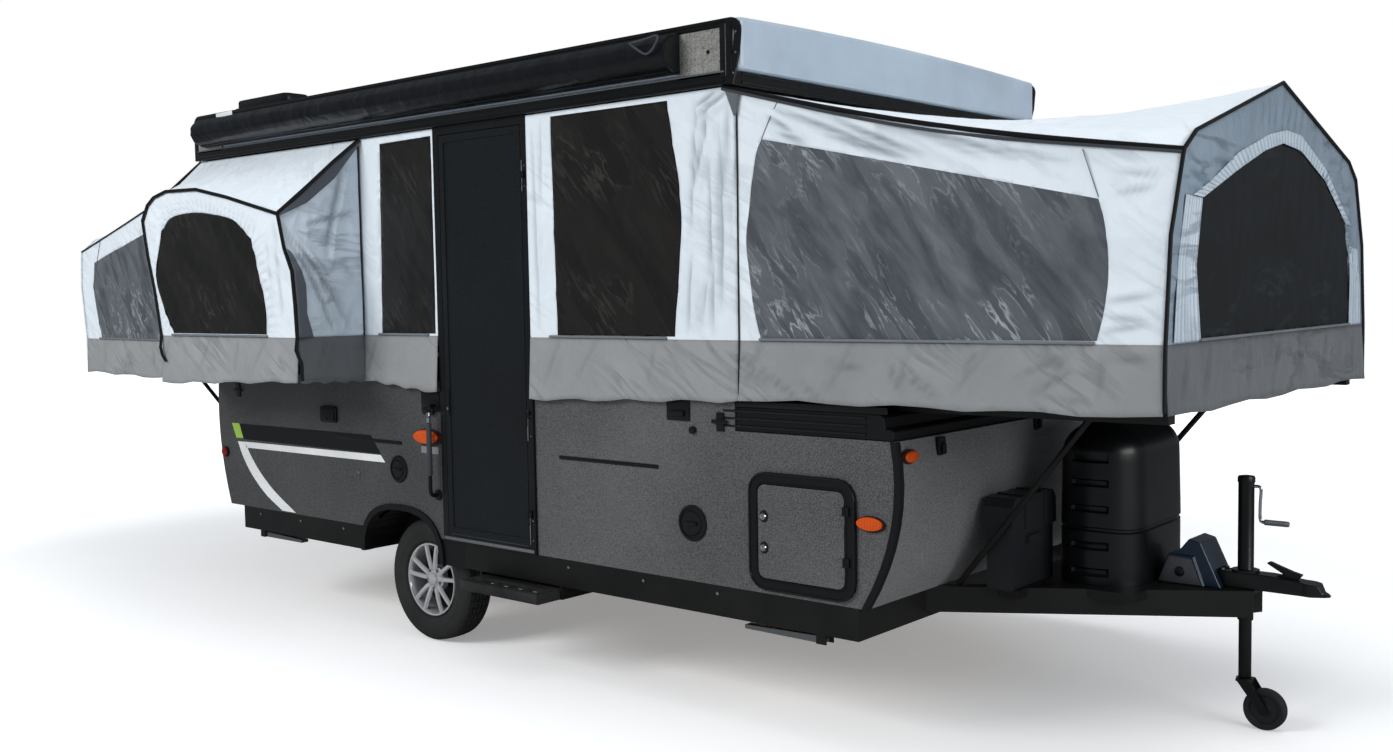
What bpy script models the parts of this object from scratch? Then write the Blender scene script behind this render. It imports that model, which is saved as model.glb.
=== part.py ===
"""Folding camper trailer, standing open on its wheels and tongue jack.

Metres, +Z up, +X towards the hitch, +Y towards the street side, ground at z = 0.
The pieces are placed from the axle: x = 0 is the axle, y = 0 the centre line. At the end one empty
carries them all, so that the middle of the whole trailer's footprint is the origin.
"""

import math

import bmesh
import bpy
from mathutils import Matrix, Vector

# Driving sizes of the frame and the running gear
GAP = 0.0003
RUN = 0.006
FRAME_REAR = -1.404
FRAME_FRONT = 2.306
FRAME_HALF_WIDTH = 1.050
FRAME_BOTTOM = 0.372
FRAME_HEIGHT = 0.110
FRAME_TOP = FRAME_BOTTOM + FRAME_HEIGHT
RAIL_WIDTH = 0.050
TYRE_RADIUS = 0.272
TYRE_WIDTH = 0.150
TYRE_OUTER_Y = FRAME_HALF_WIDTH - 0.050
MAIN_RAIL_Y = TYRE_OUTER_Y - 0.275
RIM_RADIUS = 0.160
BEAD_DROP = 0.006
SPINDLE_RADIUS = 0.018
SPOKES = 5
WELL_REAR = -0.385
WELL_FRONT = 0.315
WELL_TOP = 0.585
WELL_DEPTH = 0.170
ARCH_REAR = -0.380
ARCH_FRONT = 0.158
ARCH_TOP = WELL_TOP - 0.005
ARCH_WALL = 0.004
ARCH_LIP = 0.026

# Driving sizes of the box, which stands on the frame and overhangs its ends
BOX_HALF_WIDTH = FRAME_HALF_WIDTH
PANEL = 0.025
FLOOR_THICKNESS = 0.020
BOX_TOP = 1.165
TRUNK_TOP = BOX_TOP - 0.128
TRUNK_REAR = FRAME_FRONT - 0.508
REAR_BOTTOM_X = FRAME_REAR - 0.121
REAR_BULGE_X = FRAME_REAR - 0.210
REAR_BULGE_Z = BOX_TOP - 0.235
REAR_TOP_X = FRAME_REAR - 0.192
FRONT_BOTTOM_X = FRAME_FRONT + 0.032
FRONT_BULGE_X = FRAME_FRONT + 0.161
FRONT_BULGE_Z = TRUNK_TOP - 0.137
FRONT_TOP_X = FRAME_FRONT + 0.146
LID_HEIGHT = 0.085
TRIM_WIDTH = 0.018
TRIM_THICKNESS = 0.006

# Driving sizes of the door, hatch and step
DOOR_REAR = 0.197
DOOR_WIDTH = 0.578
DOOR_FRONT = DOOR_REAR + DOOR_WIDTH
DOOR_FRAME_WIDTH = 0.034
DOOR_FRAME_DEPTH = 0.034
DOOR_THICKNESS = 0.028
DOOR_SILL = 0.030
DOOR_BORDER = 0.032
DOOR_RECESS = 0.004
KNUCKLE_RADIUS = 0.005
HATCH_REAR = TRUNK_REAR + 0.063
HATCH_FRONT = FRAME_FRONT - 0.003
HATCH_BOTTOM = FRAME_TOP + 0.014
HATCH_TOP = TRUNK_TOP - 0.132
HATCH_FRAME_WIDTH = 0.040
HATCH_THICKNESS = 0.022
HATCH_CORNER = 0.070
STEP_REAR = 0.420
STEP_FRONT = 0.890
STEP_TOP = FRAME_BOTTOM - 0.016
STEP_THICKNESS = 0.040
STEP_OUT = 0.115
STEP_LENGTH = 0.330
STEP_SLOTS = 5
STEADIES = ((FRAME_FRONT - 0.156, -1), (FRAME_REAR + 0.154, 1))
STEADY_LENGTH = 0.330
STEADY_WIDTH = 0.036
STEADY_Y = FRAME_HALF_WIDTH - 0.030
STEADY_Z = FRAME_BOTTOM - 0.020

# Driving sizes of the roof
ROOF_REAR = FRAME_REAR - 0.289
ROOF_FRONT = TRUNK_REAR + 0.037
ROOF_HALF_WIDTH = FRAME_HALF_WIDTH + 0.030
ROOF_BOTTOM = 2.227
ROOF_RAIL_HEIGHT = 0.046
ROOF_RAIL_WIDTH = 0.055
ROOF_TOP = ROOF_BOTTOM + 0.223
ROOF_WALL = 0.035
ROOF_CROWN = 0.020
ROOF_NOSE = 0.037
ROOF_TRIM = 0.045
ROOF_TRIM_THICKNESS = 0.008
BAG_REAR = ROOF_REAR + 0.113
BAG_FRONT = ROOF_FRONT - 0.235
BAG_DEPTH = 0.105
BAG_BOTTOM = ROOF_BOTTOM + 0.058
BAG_TOP = BAG_BOTTOM + 0.145
VENT_REAR = -0.920
VENT_Y = -0.620
VENT_SIZE = 0.500
VENT_HEIGHT = 0.050
POST_SIZE = 0.036
POST_Y = FRAME_HALF_WIDTH - 0.130
POST_REAR_X = FRAME_REAR - 0.026
POST_FRONT_X = TRUNK_REAR - 0.158

# Driving sizes of the bunks and tents, which hang between the box and the roof
BUNK_REACH = 1.457
BUNK_END_HALF = FRAME_HALF_WIDTH - 0.060
SKIRT_BOTTOM = BOX_TOP - 0.020
WALL_SKIRT_BOTTOM = BOX_TOP - 0.050
SKIRT_TOP = BOX_TOP + 0.189
EAVE_HALF = BUNK_END_HALF - 0.130
EAVE_Z = ROOF_BOTTOM - 0.322
SHOULDER_HALF = EAVE_HALF - 0.090
SHOULDER_Z = EAVE_Z + 0.057
PEAK_Z = ROOF_BOTTOM - 0.051
CLOTH = 0.008
TENT_OUTER_Y = FRAME_HALF_WIDTH + 0.015
TENT_CORNER = ROOF_FRONT - 0.055
TENT_REAR = ROOF_REAR + 0.033
DECK_THICKNESS = 0.040
DECK_TOP = BOX_TOP + 0.070
SLIDE_RAIL_WIDTH = 0.050
SLIDE_RAIL_Y = BUNK_END_HALF - 0.130
SIDE_TENT_FRONT = DOOR_REAR - 0.516
SIDE_TENT_REACH = 0.345
STRUT_RADIUS = 0.011
STRUT_FOOT = 0.085
STRUT_TOP_INSET = 0.330

# Driving sizes of the tongue
TONGUE_HALF = 0.600
STRUT_TOP_Y = TONGUE_HALF - 0.020
TONGUE_TOP = FRAME_TOP - 0.0005
TONGUE_HEIGHT = 0.090
TONGUE_WIDTH = 0.050
TONGUE_FRONT = FRAME_FRONT + 0.909
JACK_X = TONGUE_FRONT - 0.027
JACK_RADIUS = 0.026
JACK_TOP = TONGUE_TOP + 0.3865
JACK_INNER_RADIUS = 0.021
JACK_SLEEVE_BOTTOM = TONGUE_TOP - 0.1125
JACK_INNER_BOTTOM = 0.168
CASTER_TRAIL = 0.069
CASTER_RADIUS = 0.070
CASTER_WIDTH = 0.044
CRANK_Z = JACK_TOP - 0.036
CRANK_ARM = 0.120
COUPLER_LENGTH = 0.414
COUPLER_HEIGHT = 0.055
GAS_X = FRAME_FRONT + 0.441
GAS_RADIUS = 0.155
GAS_SPACING = 0.260
GAS_TOP = DECK_TOP - DECK_THICKNESS - 0.155
BATTERY_REAR = FRAME_FRONT + 0.184
BATTERY_DEPTH = 0.090
BATTERY_FRONT = BATTERY_REAR + BATTERY_DEPTH
BATTERY_Y = -0.530
BATTERY_LENGTH = 0.320
BATTERY_TOP = TONGUE_TOP + 0.3185
BATTERY_LID = 0.120

# Colour, roughness and metallic value of each finish
FINISHES = {
    "black_frame": ((0.012, 0.012, 0.013), 0.45, 0.6),
    "black_plastic": ((0.010, 0.010, 0.011), 0.5, 0.0),
    "black_door": ((0.011, 0.015, 0.018), 0.35, 0.0),
    "panel_grey": ((0.125, 0.125, 0.128), 0.6, 0.0),
    "roof_white": ((0.42, 0.46, 0.50), 0.4, 0.0),
    "rubber": ((0.012, 0.012, 0.013), 0.8, 0.0),
    "alloy": ((0.55, 0.56, 0.58), 0.22, 1.0),
    "zinc": ((0.35, 0.36, 0.37), 0.45, 1.0),
    "tent_white": ((0.74, 0.77, 0.80), 0.85, 0.0),
    "awning_cloth": ((0.012, 0.014, 0.020), 0.4, 0.0),
    "plywood": ((0.40, 0.30, 0.19), 0.7, 0.0),
}


# Turns that lay a form made along z on each axis
TURNS = (Matrix.Rotation(math.pi / 2, 4, "Y"), Matrix.Rotation(-math.pi / 2, 4, "X"), Matrix())


# Helpers for the meshes
def clear_scene():
    for old in list(bpy.data.objects):
        bpy.data.objects.remove(old, do_unlink=True)


def finish_object(obj, finish, smooth_angle=None):
    colour, roughness, metallic = FINISHES[finish]
    material = bpy.data.materials.new(obj.name + "_finish")
    material.use_nodes = True
    shader = material.node_tree.nodes["Principled BSDF"]
    shader.inputs["Base Color"].default_value = (*colour, 1.0)
    shader.inputs["Roughness"].default_value = roughness
    shader.inputs["Metallic"].default_value = metallic
    obj.data.materials.clear()
    obj.data.materials.append(material)
    if smooth_angle is not None:
        obj.data.shade_smooth()
        obj.data.set_sharp_from_angle(angle=math.radians(smooth_angle))
    return obj


def object_from(bm, name, at=(0.0, 0.0, 0.0)):
    bmesh.ops.recalc_face_normals(bm, faces=bm.faces)
    bmesh.ops.translate(bm, verts=bm.verts, vec=-Vector(at))
    mesh = bpy.data.meshes.new(name)
    bm.to_mesh(mesh)
    bm.free()
    obj = bpy.data.objects.new(name, mesh)
    obj.location = at
    bpy.context.collection.objects.link(obj)
    return obj


def block(name, x, y, z):
    bm = bmesh.new()
    bmesh.ops.create_cube(bm, size=1.0)
    for vert in bm.verts:
        for axis, (low, high) in enumerate((x, y, z)):
            vert.co[axis] = low if vert.co[axis] < 0 else high
    return object_from(bm, name)


def extruded(name, outline, axis, low, high):
    """A closed outline pushed along one axis; its points hold the other two axes in order."""
    bm = bmesh.new()
    others = [i for i in range(3) if i != axis]
    ring = []
    for point in outline:
        co = [0.0, 0.0, 0.0]
        co[axis] = low
        co[others[0]], co[others[1]] = point
        ring.append(bm.verts.new(co))
    face = bm.faces.new(ring)
    push = Vector((0.0, 0.0, 0.0))
    push[axis] = high - low
    moved = bmesh.ops.extrude_face_region(bm, geom=[face])["geom"]
    bmesh.ops.translate(bm, verts=[v for v in moved if isinstance(v, bmesh.types.BMVert)], vec=push)
    return object_from(bm, name)


def cylinder(name, centre, axis, radius, length, sides=24, radius_end=None):
    bm = bmesh.new()
    end = radius if radius_end is None else radius_end
    bmesh.ops.create_cone(bm, cap_ends=True, segments=sides, radius1=radius, radius2=end, depth=length)
    turn = TURNS[axis]
    bmesh.ops.transform(bm, matrix=Matrix.Translation(centre) @ turn, verts=bm.verts)
    return object_from(bm, name)


def rod(name, start, end, radius, sides=12):
    start, end = Vector(start), Vector(end)
    way = end - start
    bm = bmesh.new()
    bmesh.ops.create_cone(bm, cap_ends=True, segments=sides, radius1=radius, radius2=radius, depth=way.length)
    turn = way.to_track_quat("Z", "Y").to_matrix().to_4x4()
    bmesh.ops.transform(bm, matrix=Matrix.Translation((start + end) / 2) @ turn, verts=bm.verts)
    return object_from(bm, name)


def turned(name, profile, centre, axis, steps):
    """A profile of (radius, along) points turned about an axis through the centre."""
    bm = bmesh.new()
    loop = [bm.verts.new((radius, 0.0, along)) for radius, along in profile]
    edges = [bm.edges.new((loop[i], loop[(i + 1) % len(loop)])) for i in range(len(loop))]
    bmesh.ops.spin(bm, geom=loop + edges, cent=(0, 0, 0), axis=(0, 0, 1), angle=math.tau,
                   steps=steps, use_merge=True)
    bmesh.ops.remove_doubles(bm, verts=bm.verts, dist=0.00001)
    turn = TURNS[axis]
    bmesh.ops.transform(bm, matrix=turn, verts=bm.verts)
    bmesh.ops.translate(bm, verts=bm.verts, vec=centre)
    return object_from(bm, name, centre)


def combine(target, pieces, operation):
    """Joins pieces to the target, or cuts them from it, and removes them."""
    for piece in pieces:
        modifier = target.modifiers.new(operation.lower(), "BOOLEAN")
        modifier.operation = operation
        modifier.solver = "EXACT"
        modifier.object = piece
        bpy.context.view_layer.update()
        graph = bpy.context.evaluated_depsgraph_get()
        mesh = bpy.data.meshes.new_from_object(target.evaluated_get(graph))
        target.modifiers.clear()
        target.data = mesh
        bpy.data.objects.remove(piece, do_unlink=True)
    return target


def bevelled(obj, width, segments=2, angle=40):
    modifier = obj.modifiers.new("rounded_edges", "BEVEL")
    modifier.width = width
    modifier.segments = segments
    modifier.limit_method = "ANGLE"
    modifier.angle_limit = math.radians(angle)
    return obj


def arc(centre, radius, first, last, steps):
    """Points of an arc, angles in degrees."""
    points = []
    for i in range(steps + 1):
        angle = math.radians(first + (last - first) * i / steps)
        points.append((centre[0] + radius * math.cos(angle), centre[1] + radius * math.sin(angle)))
    return points


def rounded_rectangle(x, z, radius, steps=4):
    """Outline of a rectangle in x and z with round corners."""
    points = []
    for corner, first in (((x[1], z[1]), 0), ((x[0], z[1]), 90), ((x[0], z[0]), 180), ((x[1], z[0]), 270)):
        middle = [c - math.copysign(radius, c - (s[0] + s[1]) / 2) for c, s in zip(corner, (x, z))]
        points += arc(middle, radius, first, first + 90, steps)
    return points


def bulged(bottom, bulge, top, steps=8):
    """Points of the curved end of the box, from (x, z) bottom through the bulge to the top."""
    points = []
    for i in range(steps + 1):
        z = bottom[1] + (top[1] - bottom[1]) * i / steps
        a = (z - bulge[1]) * (z - top[1]) / ((bottom[1] - bulge[1]) * (bottom[1] - top[1]))
        b = (z - bottom[1]) * (z - top[1]) / ((bulge[1] - bottom[1]) * (bulge[1] - top[1]))
        c = (z - bottom[1]) * (z - bulge[1]) / ((top[1] - bottom[1]) * (top[1] - bulge[1]))
        points.append((a * bottom[0] + b * bulge[0] + c * top[0], z))
    return points


clear_scene()

# Chassis: main rails, sills, cross-members and outriggers welded into one frame
SILL_INNER = FRAME_HALF_WIDTH - RAIL_WIDTH
OUTRIGGERS = (FRAME_REAR + 0.454, WELL_REAR - 0.065, WELL_FRONT + 0.025, FRAME_FRONT - 1.056)
CROSS_MEMBERS = (FRAME_REAR + 0.654, 0.350, FRAME_FRONT - 0.956)
frame_z = (FRAME_BOTTOM, FRAME_TOP)
chassis = block("chassis_frame", (FRAME_REAR, FRAME_REAR + RAIL_WIDTH),
                (-FRAME_HALF_WIDTH, FRAME_HALF_WIDTH), frame_z)
beams = [block("front_member", (FRAME_FRONT - RAIL_WIDTH, FRAME_FRONT),
               (-FRAME_HALF_WIDTH, FRAME_HALF_WIDTH), frame_z)]
for side in (-1, 1):
    low, high = sorted((side * (MAIN_RAIL_Y - RAIL_WIDTH / 2), side * (MAIN_RAIL_Y + RAIL_WIDTH / 2)))
    beams.append(block("main_rail", (FRAME_REAR + 0.01, FRAME_FRONT - 0.01), (low, high), frame_z))
    low, high = sorted((side * SILL_INNER, side * FRAME_HALF_WIDTH))
    beams.append(block("rear_sill", (FRAME_REAR + 0.01, WELL_REAR - ARCH_WALL - GAP), (low, high), frame_z))
    beams.append(block("front_sill", (WELL_FRONT + ARCH_WALL + GAP, FRAME_FRONT - 0.01), (low, high),
                       frame_z))
    low, high = sorted((side * MAIN_RAIL_Y, side * (SILL_INNER + 0.02)))
    for x in OUTRIGGERS:
        beams.append(block("outrigger", (x, x + 0.04), (low, high), (FRAME_BOTTOM + 0.03, FRAME_TOP)))
for x in CROSS_MEMBERS:
    beams.append(block("cross_member", (x, x + RAIL_WIDTH), (-MAIN_RAIL_Y, MAIN_RAIL_Y),
                       (FRAME_BOTTOM, FRAME_TOP - 0.02)))
STEP_BOTTOM = STEP_TOP - STEP_THICKNESS
guide_y = (-FRAME_HALF_WIDTH + 0.004, -MAIN_RAIL_Y + 0.02)
for x in (STEP_REAR - GAP - 0.012, STEP_FRONT + GAP):
    beams.append(block("step_guide", (x, x + 0.012), guide_y, (STEP_BOTTOM, FRAME_BOTTOM + 0.01)))
for x, way in STEADIES:
    for side in (-1, 1):
        for near in (-STEADY_WIDTH / 2 - GAP - 0.006, STEADY_WIDTH / 2 + GAP):
            y = side * STEADY_Y + near
            beams.append(block("steady_ear", (x - 0.020, x + 0.020), (y, y + 0.006),
                               (STEADY_Z - 0.014, FRAME_BOTTOM + 0.010)))
combine(chassis, beams, "UNION")
finish_object(chassis, "black_frame")

# Axle: a torsion beam under the main rails with a trailing arm and a spindle at each end
ARM_Y = TYRE_OUTER_Y - TYRE_WIDTH - 0.030
WHEEL_Y = TYRE_OUTER_Y - TYRE_WIDTH / 2
HUB_BORE_END = 0.30
axle = block("axle", (-0.155, -0.095), (-ARM_Y - 0.01, ARM_Y + 0.01), (0.300, 0.360))
parts = []
for side in (-1, 1):
    outline = [(-0.165, 0.285), (0.0, 0.235), (0.035, 0.272), (0.0, 0.309), (-0.085, 0.365), (-0.165, 0.365)]
    low, high = sorted((side * (ARM_Y - 0.018), side * ARM_Y))
    parts.append(extruded("trailing_arm", outline, 1, low, high))
    low, high = sorted((side * (ARM_Y - 0.01), side * (WHEEL_Y + HUB_BORE_END * TYRE_WIDTH / 2 - 0.003)))
    parts.append(cylinder("spindle", (0.0, (low + high) / 2, TYRE_RADIUS), 1, SPINDLE_RADIUS, high - low, 20))
    low, high = sorted((side * (MAIN_RAIL_Y - 0.02), side * (MAIN_RAIL_Y + 0.02)))
    parts.append(block("hanger", (-0.170, -0.080), (low, high), (0.310, FRAME_BOTTOM - GAP)))
combine(axle, parts, "UNION")
finish_object(axle, "black_frame")

# Wheels: a turned tyre with tread grooves round a turned rim with split spokes
def tyre_profile():
    half = TYRE_WIDTH / 2
    crown = TYRE_RADIUS
    bead = RIM_RADIUS - BEAD_DROP + GAP
    side = [(bead, 0.55), (bead + 0.018, 0.70), (bead + 0.050, 0.97), (bead + 0.074, 1.00),
            (crown - 0.020, 0.93), (crown - 0.006, 0.80)]
    right = [(radius, share * half) for radius, share in side]
    tread = []
    for groove in (0.48, 0.0, -0.48):
        for offset, depth in ((0.06, 0.0), (0.035, 0.007), (-0.035, 0.007), (-0.06, 0.0)):
            tread.append((crown - depth, (groove + offset) * half))
    left = [(radius, -share * half) for radius, share in reversed(side)]
    return right + tread + left


def spoke(centre, angle, lean, outer):
    """One half of a split spoke: a tapered bar that bows out between the hub and the rim."""
    bm = bmesh.new()
    rings = []
    for step in range(4):
        share = step / 3
        reach = 0.040 + share * (RIM_RADIUS - 0.050)
        spread = 0.014 - 0.005 * share
        near = 0.25 + 0.13 * share
        far = 0.60 + 0.12 * share + 0.06 * math.sin(math.pi * share)
        bend = angle + lean * (0.34 - 0.14 * share)
        outward = Vector((math.cos(bend), 0.0, math.sin(bend)))
        sideways = Vector((-math.sin(bend), 0.0, math.cos(bend)))
        ring = []
        for offset, depth in ((-1, near), (1, near), (0.55, far), (-0.55, far)):
            point = centre + outward * reach + sideways * (offset * spread)
            point.y += depth * outer
            ring.append(bm.verts.new(point))
        rings.append(ring)
    bm.faces.new(rings[0])
    bm.faces.new(rings[-1])
    for inner_ring, outer_ring in zip(rings, rings[1:]):
        for k in range(4):
            j = (k + 1) % 4
            bm.faces.new((inner_ring[k], inner_ring[j], outer_ring[j], outer_ring[k]))
    return object_from(bm, "spoke")


for side, label in ((-1, "curb"), (1, "street")):
    centre = (0.0, side * WHEEL_Y, TYRE_RADIUS)
    tyre = turned("tyre_" + label, tyre_profile(), centre, 1, 40)
    finish_object(tyre, "rubber", 35)
    half = TYRE_WIDTH / 2
    outer = side * half
    barrel = [(RIM_RADIUS + 0.003, outer * 0.80), (RIM_RADIUS + 0.003, outer * 0.72),
              (RIM_RADIUS - BEAD_DROP, outer * 0.62), (RIM_RADIUS - BEAD_DROP, -outer * 0.62),
              (RIM_RADIUS + 0.003, -outer * 0.72), (RIM_RADIUS - 0.004, -outer * 0.78),
              (RIM_RADIUS - 0.014, -outer * 0.60), (RIM_RADIUS - 0.014, outer * 0.60),
              (RIM_RADIUS - 0.008, outer * 0.80)]
    rim = turned("rim_" + label, barrel, centre, 1, 40)
    spokes = []
    bore = SPINDLE_RADIUS + 0.0005
    hub = [(0.0, outer * HUB_BORE_END), (bore, outer * HUB_BORE_END), (bore, -outer * 0.60),
           (0.045, -outer * 0.60), (0.058, outer * 0.20), (0.052, outer * 0.62), (0.030, outer * 0.70),
           (0.0, outer * 0.70)]
    bm = bmesh.new()
    loop = [bm.verts.new((radius, 0.0, along)) for radius, along in hub]
    edges = [bm.edges.new((loop[i], loop[i + 1])) for i in range(len(loop) - 1)]
    bmesh.ops.spin(bm, geom=loop + edges, cent=(0, 0, 0), axis=(0, 0, 1), angle=math.tau, steps=20,
                   use_merge=True)
    bmesh.ops.remove_doubles(bm, verts=bm.verts, dist=0.00001)
    bmesh.ops.transform(bm, matrix=Matrix.Translation(centre) @ TURNS[1], verts=bm.verts)
    spokes.append(object_from(bm, "hub"))
    for i in range(SPOKES):
        for lean in (-1, 1):
            angle = math.tau * i / SPOKES + math.pi / 2
            spokes.append(spoke(Vector(centre), angle, lean, outer))
    combine(rim, spokes, "UNION")
    finish_object(rim, "alloy", 35)

# Floor and wheel wells
floor_z = (FRAME_TOP + GAP, FRAME_TOP + GAP + FLOOR_THICKNESS)
floor = block("box_floor", (REAR_BOTTOM_X + PANEL + 0.004, FRONT_BOTTOM_X - PANEL - 0.004),
              (-BOX_HALF_WIDTH + PANEL + GAP, BOX_HALF_WIDTH - PANEL - GAP), floor_z)
WELL_INNER_Y = TYRE_OUTER_Y - WELL_DEPTH
WELL_OUTER_Y = BOX_HALF_WIDTH - PANEL - GAP
notches = []
for side in (-1, 1):
    low, high = sorted((side * (WELL_INNER_Y - GAP), side * 1.2))
    notches.append(block("notch", (WELL_REAR - ARCH_WALL - GAP, WELL_FRONT + ARCH_WALL + GAP), (low, high),
                         (FRAME_BOTTOM, FRAME_TOP + 0.1)))
combine(floor, notches, "DIFFERENCE")
finish_object(floor, "plywood")


def arch_outline(rear, front, top, bottom, steps=16):
    """Outline of a flattened arch in x and z, closed at the bottom."""
    middle, half, height = (rear + front) / 2, (front - rear) / 2, top - FRAME_BOTTOM
    points = [(front, bottom)]
    for i in range(steps + 1):
        angle = math.pi * i / steps
        across = math.copysign(abs(math.cos(angle)) ** 0.80, math.cos(angle))
        points.append((middle + half * across, FRAME_BOTTOM + height * math.sin(angle) ** 0.80))
    points.append((rear, bottom))
    return points


def well_outline(grow, bottom):
    return arch_outline(WELL_REAR - grow, WELL_FRONT + grow, WELL_TOP + grow, bottom)


def mouth_outline(grow, bottom):
    return arch_outline(ARCH_REAR - grow, ARCH_FRONT + grow, ARCH_TOP + grow, bottom)


def side_span(side, near, far):
    """The span between two distances from the centre line, on the curb side (-1) or the street side (1)."""
    return sorted((side * near, side * far))


for side, label in ((-1, "curb"), (1, "street")):
    under = FRAME_BOTTOM - 0.002
    well = extruded("wheel_well_" + label, well_outline(ARCH_WALL, under), 1,
                    *side_span(side, WELL_INNER_Y, WELL_OUTER_Y))
    room_y = side_span(side, WELL_INNER_Y + ARCH_WALL, WELL_OUTER_Y - ARCH_WALL)
    combine(well, [extruded("room", well_outline(0.0, 0.3), 1, *room_y)], "DIFFERENCE")
    neck = extruded("neck", mouth_outline(ARCH_WALL, under), 1,
                    *side_span(side, WELL_OUTER_Y - 0.001, BOX_HALF_WIDTH + 0.009))
    lip = extruded("lip", mouth_outline(ARCH_LIP, under), 1,
                   *side_span(side, BOX_HALF_WIDTH + GAP, BOX_HALF_WIDTH + 0.010))
    infill = block("infill", (ARCH_FRONT + 0.001, WELL_FRONT + ARCH_WALL),
                   side_span(side, WELL_OUTER_Y - 0.001, BOX_HALF_WIDTH), (under, FRAME_TOP))
    combine(well, [neck, lip, infill], "UNION")
    mouth = extruded("mouth", mouth_outline(0.0, 0.3), 1,
                     *side_span(side, WELL_OUTER_Y - 0.02, BOX_HALF_WIDTH + 0.05))
    combine(well, [mouth], "DIFFERENCE")
    finish_object(well, "black_plastic")

# Box walls: side panels with curved ends, cut for the arch, the door and the hatch
wall_bottom = FRAME_TOP + GAP
rear_curve = bulged((REAR_BOTTOM_X, wall_bottom), (REAR_BULGE_X, REAR_BULGE_Z), (REAR_TOP_X, BOX_TOP))
front_curve = bulged((FRONT_BOTTOM_X, wall_bottom), (FRONT_BULGE_X, FRONT_BULGE_Z), (FRONT_TOP_X, TRUNK_TOP))
whole_side = front_curve + [(TRUNK_REAR, TRUNK_TOP), (TRUNK_REAR, BOX_TOP)] + rear_curve[::-1]


def side_panel(name, side):
    low, high = sorted((side * (BOX_HALF_WIDTH - PANEL), side * BOX_HALF_WIDTH))
    panel = extruded(name, whole_side, 1, low, high)
    cutter = extruded("arch_cut", mouth_outline(ARCH_WALL + GAP, 0.3), 1, low - 0.1, high + 0.1)
    return combine(panel, [cutter], "DIFFERENCE")


def hatch_ring(name, inset, low, high):
    """A solid with the hatch's rounded outline, inset on every side."""
    outline = rounded_rectangle((HATCH_REAR + inset, HATCH_FRONT - inset),
                                (HATCH_BOTTOM + inset, HATCH_TOP - inset), HATCH_CORNER - inset)
    return extruded(name, outline, 1, low, high)


panel = side_panel("box_side_street", 1)
finish_object(panel, "panel_grey")
door_x = (DOOR_REAR - GAP, DOOR_FRONT + GAP)
panel = side_panel("box_side_curb_rear", -1)
combine(panel, [block("beyond", (door_x[0], 3.0), (-2, 0), (0, 3))], "DIFFERENCE")
finish_object(panel, "panel_grey")
panel = side_panel("box_side_curb_front", -1)
combine(panel, [block("beyond", (-3.0, door_x[1]), (-2, 0), (0, 3)),
                hatch_ring("hatch_hole", 0.012, -BOX_HALF_WIDTH - 0.1, 0)], "DIFFERENCE")
finish_object(panel, "panel_grey")

for name, curve, inward in (("box_front", front_curve, -1), ("box_rear", rear_curve, 1)):
    inner = [(x + inward * PANEL, z) for x, z in curve]
    wall = extruded(name, curve + inner[::-1], 1, -BOX_HALF_WIDTH + PANEL + GAP, BOX_HALF_WIDTH - PANEL - GAP)
    finish_object(wall, "panel_grey")
bulkhead = block("bulkhead", (TRUNK_REAR + GAP, TRUNK_REAR + 0.018),
                 (-BOX_HALF_WIDTH + PANEL + GAP, BOX_HALF_WIDTH - PANEL - GAP),
                 (floor_z[1] + GAP, TRUNK_TOP - GAP))
finish_object(bulkhead, "plywood")

# Trunk lid: a shallow tray turned over, its rim stepped in above a lower ledge
lid_rear, lid_front = TRUNK_REAR + 0.002, FRONT_TOP_X - 0.012
lid_bottom, lid_top = TRUNK_TOP + GAP, TRUNK_TOP + LID_HEIGHT
ledge_top = lid_bottom + LID_HEIGHT * 0.45
lid_outline = [(lid_rear, lid_bottom), (lid_front, lid_bottom), (lid_front, ledge_top - 0.008),
               (lid_front - 0.008, ledge_top), (lid_front - 0.030, ledge_top),
               (lid_front - 0.036, lid_top - 0.010), (lid_front - 0.046, lid_top), (lid_rear, lid_top)]
lid = extruded("trunk_lid", lid_outline, 1, -BOX_HALF_WIDTH + 0.004, BOX_HALF_WIDTH - 0.004)
finish_object(bevelled(lid, 0.004), "black_plastic")

# Corner trims: angle strips that follow the bulge of the front corners
for side, label in ((-1, "curb"), (1, "street")):
    outer_curve = [(x + TRIM_THICKNESS, z) for x, z in front_curve]
    side_curve = [(x - TRIM_WIDTH, z) for x, z in front_curve]
    face_curve = [(x + GAP, z) for x, z in front_curve]
    trim = extruded("corner_trim_" + label, outer_curve + side_curve[::-1], 1,
                    *side_span(side, BOX_HALF_WIDTH + GAP, BOX_HALF_WIDTH + TRIM_THICKNESS))
    leg_y = side_span(side, BOX_HALF_WIDTH - TRIM_WIDTH, BOX_HALF_WIDTH + TRIM_THICKNESS / 2)
    combine(trim, [extruded("face_leg", outer_curve + face_curve[::-1], 1, *leg_y)], "UNION")
    finish_object(trim, "black_plastic")

# Doorway and full-height door, hinged on its forward edge
frame_y = (-BOX_HALF_WIDTH - 0.012, -BOX_HALF_WIDTH - 0.012 + DOOR_FRAME_DEPTH)
DOOR_TOP = ROOF_BOTTOM - GAP
door_frame = block("door_frame", (DOOR_REAR, DOOR_FRONT), frame_y, (FRAME_TOP + GAP, DOOR_TOP))
combine(door_frame, [block("doorway", (DOOR_REAR + DOOR_FRAME_WIDTH, DOOR_FRONT - DOOR_FRAME_WIDTH), (-2, 0),
                           (FRAME_TOP + DOOR_SILL, DOOR_TOP - DOOR_FRAME_WIDTH))], "DIFFERENCE")
hinge = (DOOR_FRONT - DOOR_FRAME_WIDTH - 0.0015, frame_y[0] - KNUCKLE_RADIUS - 0.0005)


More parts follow.
